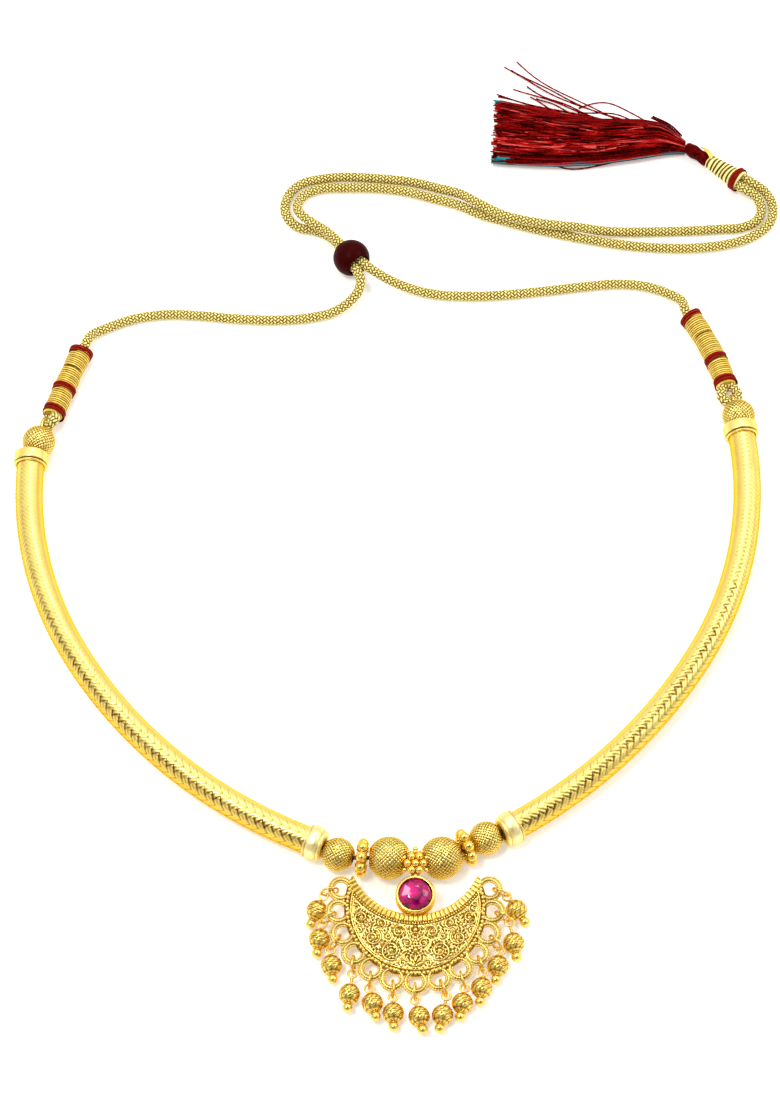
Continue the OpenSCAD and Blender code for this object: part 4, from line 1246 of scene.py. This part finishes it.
class NECKLACE_OT_beads(bpy.types.Operator):
    """Granulated beads, back beads and flower spacers"""
    bl_idname = "necklace.beads"
    bl_label = "Beads"

    def execute(self, context):
        count = context.scene.necklace_sizes.grain_count
        few = round(count * 0.8)
        large = bored_bead(LARGE_R, LARGE_HALF, LARGE_BORE, count, 0.17, 104)
        small = bored_bead(SMALL_R, SMALL_HALF, SMALL_BORE, few, 0.16, 88)
        for side in SIDES:
            large_place, spacer_place, small_place = ROW[side]
            row_bead(context, "large", side, large_place, large, LARGE_R)
            row_bead(context, "small", side, small_place, small, SMALL_R)
            spacer(context, side, spacer_place)
            back_bead(context, side, few)
        return {"FINISHED"}


# Pendant, stone and drops

def in_pendant(points):
    """From the pendant's tilted frame to the necklace's."""
    return placed(points, PENDANT_AT, 0, 0, PENDANT_TILT)


def loop_middle(i):
    """Middle of hanging loop i in the pendant's own frame, seen from above."""
    return LOOPS_R * compass(-90 + (i - len(DROPS) // 2) * LOOP_PITCH) + (0, LOOPS_Y)


def wire_on(d, half, tall):
    """Half-round wire: its height at a distance from its middle line."""
    return tall * np.sqrt(np.clip(1 - (d / half) ** 2, 0, 1))


def grains_on_arc(x, y, centre_y, radius, pitch, r):
    """Row of round grains along an arc about (0, centre_y)."""
    off = np.hypot(x, y - centre_y) - radius
    step = part_of(np.arctan2(x, -(y - centre_y)) * radius / pitch + 0.5) - 0.5
    return wire_on(np.hypot(off, step * pitch), r, r)


def scrollwork(right, y, h):
    """Raises spiral wires, each in a ring of 13 leaves, then petals and grains over the heights."""
    t = np.linspace(0, 1, 100)
    for cx, cy, r0, r1, start, turns in SCROLLS:
        a, r = np.radians(start) + TURN * turns * t, r0 + (r1 - r0) * t
        off_x, off_y = right[..., None] - cx - r * np.cos(a), y[..., None] - cy - r * np.sin(a)
        d = np.sqrt((off_x ** 2 + off_y ** 2).min(-1))
        h = np.where(d < 0.26, wire_on(d, 0.17, 0.25), h)
        reach = np.hypot(right - cx, y - cy)
        leaf = part_of(np.arctan2(y - cy, right - cx) / TURN * 13) - 0.5
        outside = ease(r0 + 0.5, r0 + 0.35, reach) * ease(r0 + 0.12, r0 + 0.2, reach)
        h = np.maximum(h, wire_on(leaf * 2, 0.75, 0.2) * outside)
    for angle, length in PETALS:
        way = compass(angle)
        u = right * way[0] + (y - PETALS_Y) * way[1]
        v = -right * way[1] + (y - PETALS_Y) * way[0]
        swell = np.clip(np.sin(np.pi * np.clip(u / length, 0, 1)), 1e-6, 1)
        petal = np.abs(v) / (0.34 * np.sqrt(swell))
        h = np.where(petal < 1.4, wire_on(petal, 1.0, 0.28), h)
    for cx, cy, r in GRAINS:
        d = np.hypot(right - cx, y - cy)
        h = np.where(d < 1.25 * r, wire_on(d, r, 0.9 * r), h)
    return h


def crescent_relief(x, y):
    """Heights over the crescent's ground and how polished each place is: ridged upper border,
    granulated lower border, and between them scrolls, petals and grains over a net of fine wires,
    all mirrored about the middle. Each wire's height is that of a half circle over its distance
    from its line, and the highest wins. The net's wires run where a product of two warped sines is 0."""
    right = np.abs(x)
    above = np.hypot(x, y - HOLLOW_Y) - HOLLOW_R
    below = CRESCENT_R - np.hypot(x, y - LOOPS_Y)
    field = ease(1.95, 2.1, above) * ease(1.3, 1.45, below)
    net = np.sin(4.9 * right + 1.4 * np.sin(2.3 * y)) * np.sin(4.9 * y + 1.4 * np.sin(2.3 * right + 1))
    h = scrollwork(right, y, wire_on(np.abs(net), 0.42, 0.15))
    for centre_y, radius in ((LOOPS_Y, 11.6), (HOLLOW_Y, 14.75)):
        h = np.maximum(h, wire_on(np.abs(np.hypot(x, y - centre_y) - radius), 0.12, 0.2))
    h = np.maximum(h * field, wire_on(np.abs(below - 1.22), 0.14, 0.22))
    h = np.maximum(h, grains_on_arc(x, y, LOOPS_Y, CRESCENT_R - 0.55, 0.78, 0.36))
    h = np.maximum(h, grains_on_arc(x, y, HOLLOW_Y, HOLLOW_R + 1.72, 0.5, 0.22))
    rays = np.abs(np.cos(np.pi * np.arctan2(x, HOLLOW_Y - y) * HOLLOW_R / 0.8)) ** 0.45
    border = ease(-0.02, 0.14, above) * ease(1.5, 1.38, above)
    hem = ease(0.3, 0.1, above) * ease(-0.02, 0.1, above)
    rise = border * (0.2 + 0.25 * np.maximum(rays, 0.8 * hem))
    polish = np.where(rise > h, 0.12 + 0.88 * np.maximum(rays, hem), np.clip(h / 0.19, 0, 1))
    return np.maximum(h, rise), polish


def crescent(context):
    """Plate between two arcs, cut off just before they meet. Rows run from tip to tip, and columns across
    the relief from the inner arc to the outer one and back along the flat underside."""
    tip_y = (CRESCENT_R ** 2 - HOLLOW_R ** 2 + HOLLOW_Y ** 2 - LOOPS_Y ** 2) / (2 * (HOLLOW_Y - LOOPS_Y))
    tip_x = math.sqrt(CRESCENT_R ** 2 - (tip_y - LOOPS_Y) ** 2)
    outer_half, inner_half = [
        90 + math.degrees(math.atan2(tip_y - centre_y, tip_x)) for centre_y in (LOOPS_Y, HOLLOW_Y)]
    rows, columns = 470, 108
    v, u = np.linspace(-0.985, 0.985, rows)[:, None], np.linspace(0, 1, columns)
    outer, inner = compass(-90 + outer_half * v) * CRESCENT_R, compass(-90 + inner_half * v) * HOLLOW_R
    x = (1 - u) * inner[0] + u * outer[0]
    y = (1 - u) * (inner[1] + HOLLOW_Y) + u * (outer[1] + LOOPS_Y)
    h, ridge = crescent_relief(x, y)
    edge = np.minimum(1, 6 * np.minimum(u, 1 - u) + 0.75)
    top = np.stack((x, y, PLATE_TOP - 0.12 + h * edge), -1)
    back = np.linspace(columns - 1, 0, 10).astype(int)
    bottom = np.stack((x[:, back], y[:, back], 0 * x[:, back] + PLATE_TOP - PLATE_T), -1)
    shade = np.where(np.hypot(x, y - HOLLOW_Y) < HOLLOW_R + 1.5, 0.35, 0.8)
    Shape().grid(in_pendant(np.concatenate((top, bottom), 1)),
                 np.concatenate((ridge, 0 * x[:, back] + 0.7), 1),
                 np.concatenate((shade, shade[:, back]), 1)).piece(
        "crescent", filigree_gold(context), "gold", "pendant", sharp=65)


def hanging_loops(context):
    """Flattened rings along the crescent's edge: twisted rope with two furrows around its top."""
    a, b = around(88)[:, None], around(20)
    rope = np.abs(np.sin(a * 13))
    furrow = hump(b, 1.05, 0.24) + hump(b, 2.1, 0.24)
    r = 1.85 + 0.65 * np.cos(b) * (1 - 0.05 * (1 - rope)) * (1 - 0.1 * furrow)
    z = PLATE_TOP - 0.45 + 0.45 * np.sin(b) * (1 - 0.4 * furrow - 0.1 * (1 - rope))
    loops = Shape()
    for i in range(len(DROPS)):
        x, y = loop_middle(i)
        p = np.stack((x + r * np.cos(a), y + r * np.sin(a), z + 0 * a), -1)
        loops.grid(p, (1 - 0.85 * furrow) * (0.45 + 0.35 * rope), 0.7, loop=True)
    loops.move(in_pendant).piece("hanging_loops", filigree_gold(context), "gold", "pendant")


def stone_setting(context):
    """Turned cup with a dark line around it."""
    z, r = profile_of(SETTING)
    ridge = (1 - 0.7 * hump(z, 1.92, 0.12) * (r > 3.4)) * (r > 1)
    Shape().grid(in_pendant(upright(z, r, 120, BEZEL_Y)), ridge, 0.6, loop=True).piece(
        "stone_setting", filigree_gold(context), "gold", "pendant", sharp=40)


def bail_and_flower(context):
    """Ring on the thread, a flower of grains on a post beside it, and a bar to the setting."""
    bail = Shape().grid(turned(*profile_of(BAIL_RING), 40), 0.8, loop=True)
    bail.grid(upright(*profile_of(FLOWER_POST), 32, FLOWER_Y), 0.3, loop=True)
    bail.grid(np.array([[(x, y, z) for y, z in BAIL_STRUT] for x in (-STRUT_HALF, STRUT_HALF)]), 0.6)
    for reach, angle, rise, r in FLOWER:
        x, y = reach * compass(angle)
        bail.grid(ball(r, 14, 22) + (x, FLOWER_Y + y, FLOWER_Z + rise), 1.0)
    bail.move(in_pendant).piece("bail_and_flower", filigree_gold(context), "gold", "pendant")


class NECKLACE_OT_pendant(bpy.types.Operator):
    """Crescent, loops, setting, bail and flower"""
    bl_idname = "necklace.pendant"
    bl_label = "Pendant"

    def execute(self, context):
        for make in (crescent, hanging_loops, stone_setting, bail_and_flower):
            make(context)
        return {"FINISHED"}


class NECKLACE_OT_stone(bpy.types.Operator):
    """Faceted round stone"""
    bl_idname = "necklace.stone"
    bl_label = "Stone"

    def execute(self, context):
        """Rings of 16 points: base, girdle, crown and table. The crown's ring zigzags out and down, and
        the table's in and up, which makes kites and stars. Each ring's and facet's shade is painted
        reflection, and the facets at the crown's left are painted pale, a painted reflection of the sky."""
        k = np.arange(16)
        even_r, even_z, odd_r, odd_z = np.array(STONE_RINGS).T[..., None]
        r, z = np.where(k % 2, odd_r, even_r), np.where(k % 2, odd_z, even_z)
        a = TURN * (k + 0.25) / 16
        # Painted reflections: a shade for each ring and facet, and a pale patch on the crown's left.
        shade = np.array((0.2, 0.25, 0.35, 0.6, 0.5))[:, None] + 0.3 * np.sin(k * 2.4)
        shade[3:, 6:9] = 1.8
        stone = np.stack((r * np.cos(a), r * np.sin(a) + BEZEL_Y, z), -1)
        Shape().grid(in_pendant(stone), 1.0, shade).piece(
            "faceted_stone", ruby(context), "ruby", "ruby", smooth=False)
        return {"FINISHED"}


def drop_places(i):
    """Middle and climb of jump ring i, and its far point, which the pin's eye holds."""
    heading, far_z = DROPS[i][:2]
    hole = in_pendant(np.array((*loop_middle(i), PLATE_TOP - LOOP_T / 2)))
    way = towards(heading)
    rim = hole + RIM_R * (way + np.array((0, 0, way[1] * math.tan(math.radians(PENDANT_TILT)))))
    lift = max((far_z - rim[2]) * RING_SLACK / (RING_SLACK + RING_R), RING_LEAST_Z - rim[2])
    middle = rim + (0, 0, lift) + math.sqrt(RING_SLACK ** 2 - lift ** 2) * way
    climb = math.degrees(math.asin((far_z - middle[2]) / RING_R))
    return middle, climb, middle + RING_R * towards(heading, climb)


def filigree_ball():
    """Drop's ball: bent wires in four zones, with furrows between them and plain poles. Gives its
    points about its own middle and their ridge."""
    columns = 84
    lat, lon = np.linspace(0.06, np.pi - 0.06, 60)[:, None], around(columns)
    swirl = np.abs(np.sin(lon * 5 + 3.2 * np.sin(lat * 2))) ** 0.6 * np.abs(np.sin(lat * 7)) ** 0.35
    rings = 1 - ease(0.10, 0.05, np.abs(part_of(lat / np.pi * 4 + 0.5) - 0.5))
    poles = 0.9 * (lat < 0.3) + 0.9 * (lat > np.pi - 0.3)
    ridge = np.clip(1.25 * swirl * (0.3 + 0.7 * rings) + poles, 0, 1)
    r = DROP_R - 0.13 * (1 - ridge)
    return turned(-r * np.cos(lat), r * np.sin(lat), columns), ridge


def drop(context, i, far, sphere, ridge):
    """Eye, wound pin, filigree ball, collar and tip ball along one line from the jump ring."""
    _, far_z, heading, spare, roll = DROPS[i]
    start = EYE_SLACK + EYE_R
    at = start + EYE_WIRE_R + DROP_R + spare
    end = at + DROP_R
    x = np.linspace(start, at - DROP_R + 0.1, 24)[:, None]
    wrap = ribs(x / 0.3 + around(16) / TURN)
    collar_x, collar_r = profile_of(DROP_COLLAR)
    made = Shape().grid(wire_ring(EYE_R, EYE_WIRE_R, 32, 10) + (EYE_SLACK, 0, 0), 0.8, loop=True)
    made.grid(turned(x, PIN_R - 0.05 + 0.06 * wrap, 16), wrap)
    made.grid(sphere @ turn_matrix(0, 0, 47.0 * i).T + (at, 0, 0), ridge)
    made.grid(turned(end + collar_x, collar_r, 24), 0.6)
    made.grid(ball(TIP_R, 20, 30) + (end + TIP_R - 0.2, 0, 0), 1.0)
    climb = math.degrees(math.asin((DROP_R + 0.02 - far_z) / at))
    made.move(lambda p: placed(p, far, heading, climb, roll / 2)).piece(
        f"drop_{i + 1:02d}", filigree_gold(context), "gold", f"drop_bead_{i + 1:02d}")


class NECKLACE_OT_drops(bpy.types.Operator):
    """Jump rings and drop beads"""
    bl_idname = "necklace.drops"
    bl_label = "Drops"

    def execute(self, context):
        ring = wire_ring(RING_R, WIRE_R, 56, 12, 0.06) @ turn_matrix(0, 0, 90).T @ turn_matrix(0, 150).T
        sphere, ridge = filigree_ball()
        for i, (heading, _, _, _, roll) in enumerate(DROPS):
            middle, climb, far = drop_places(i)
            Shape().grid(placed(ring, middle, heading, climb, roll), 0.8).piece(
                f"jump_ring_{i + 1:02d}", filigree_gold(context), "gold", f"drop_ring_{i + 1:02d}")
            drop(context, i, far, sphere, ridge)
        return {"FINISHED"}


class NECKLACE_OT_thread(bpy.types.Operator):
    """Silk of the stringing thread"""
    bl_idname = "necklace.thread"
    bl_label = "Stringing thread"

    def execute(self, context):
        silk = stringing_silk()
        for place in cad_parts["stringing_thread"].material_slots:
            place.material = silk
        return {"FINISHED"}


# Panel and main

STEPS = (NECKLACE_OT_stage, NECKLACE_OT_slider, NECKLACE_OT_tassel, NECKLACE_OT_cords, NECKLACE_OT_cord_ends,
         NECKLACE_OT_tubes, NECKLACE_OT_caps, NECKLACE_OT_beads, NECKLACE_OT_pendant, NECKLACE_OT_stone,
         NECKLACE_OT_drops, NECKLACE_OT_thread)


class NECKLACE_PT_panel(bpy.types.Panel):
    """Sizes, colours and steps"""
    bl_label = "Temple Necklace"
    bl_space_type = "VIEW_3D"
    bl_region_type = "UI"
    bl_category = "Necklace"

    def draw(self, context):
        for group in (context.scene.necklace_sizes, context.scene.necklace_colours):
            for key in group.__annotations__:
                self.layout.prop(group, key)
        for step in STEPS:
            self.layout.operator(step.bl_idname)


CLASSES = (NecklaceSizes, NecklaceColours, *STEPS, NECKLACE_PT_panel)


def register():
    for cls in CLASSES:
        bpy.utils.register_class(cls)
    bpy.types.Scene.necklace_sizes = PointerProperty(type=NecklaceSizes)
    bpy.types.Scene.necklace_colours = PointerProperty(type=NecklaceColours)


def unregister():
    del bpy.types.Scene.necklace_colours
    del bpy.types.Scene.necklace_sizes
    for cls in reversed(CLASSES):
        bpy.utils.unregister_class(cls)


def main():
    register()
    for step in STEPS:
        getattr(bpy.ops.necklace, step.bl_idname.split(".")[1])()


if __name__ == "__main__":
    main()
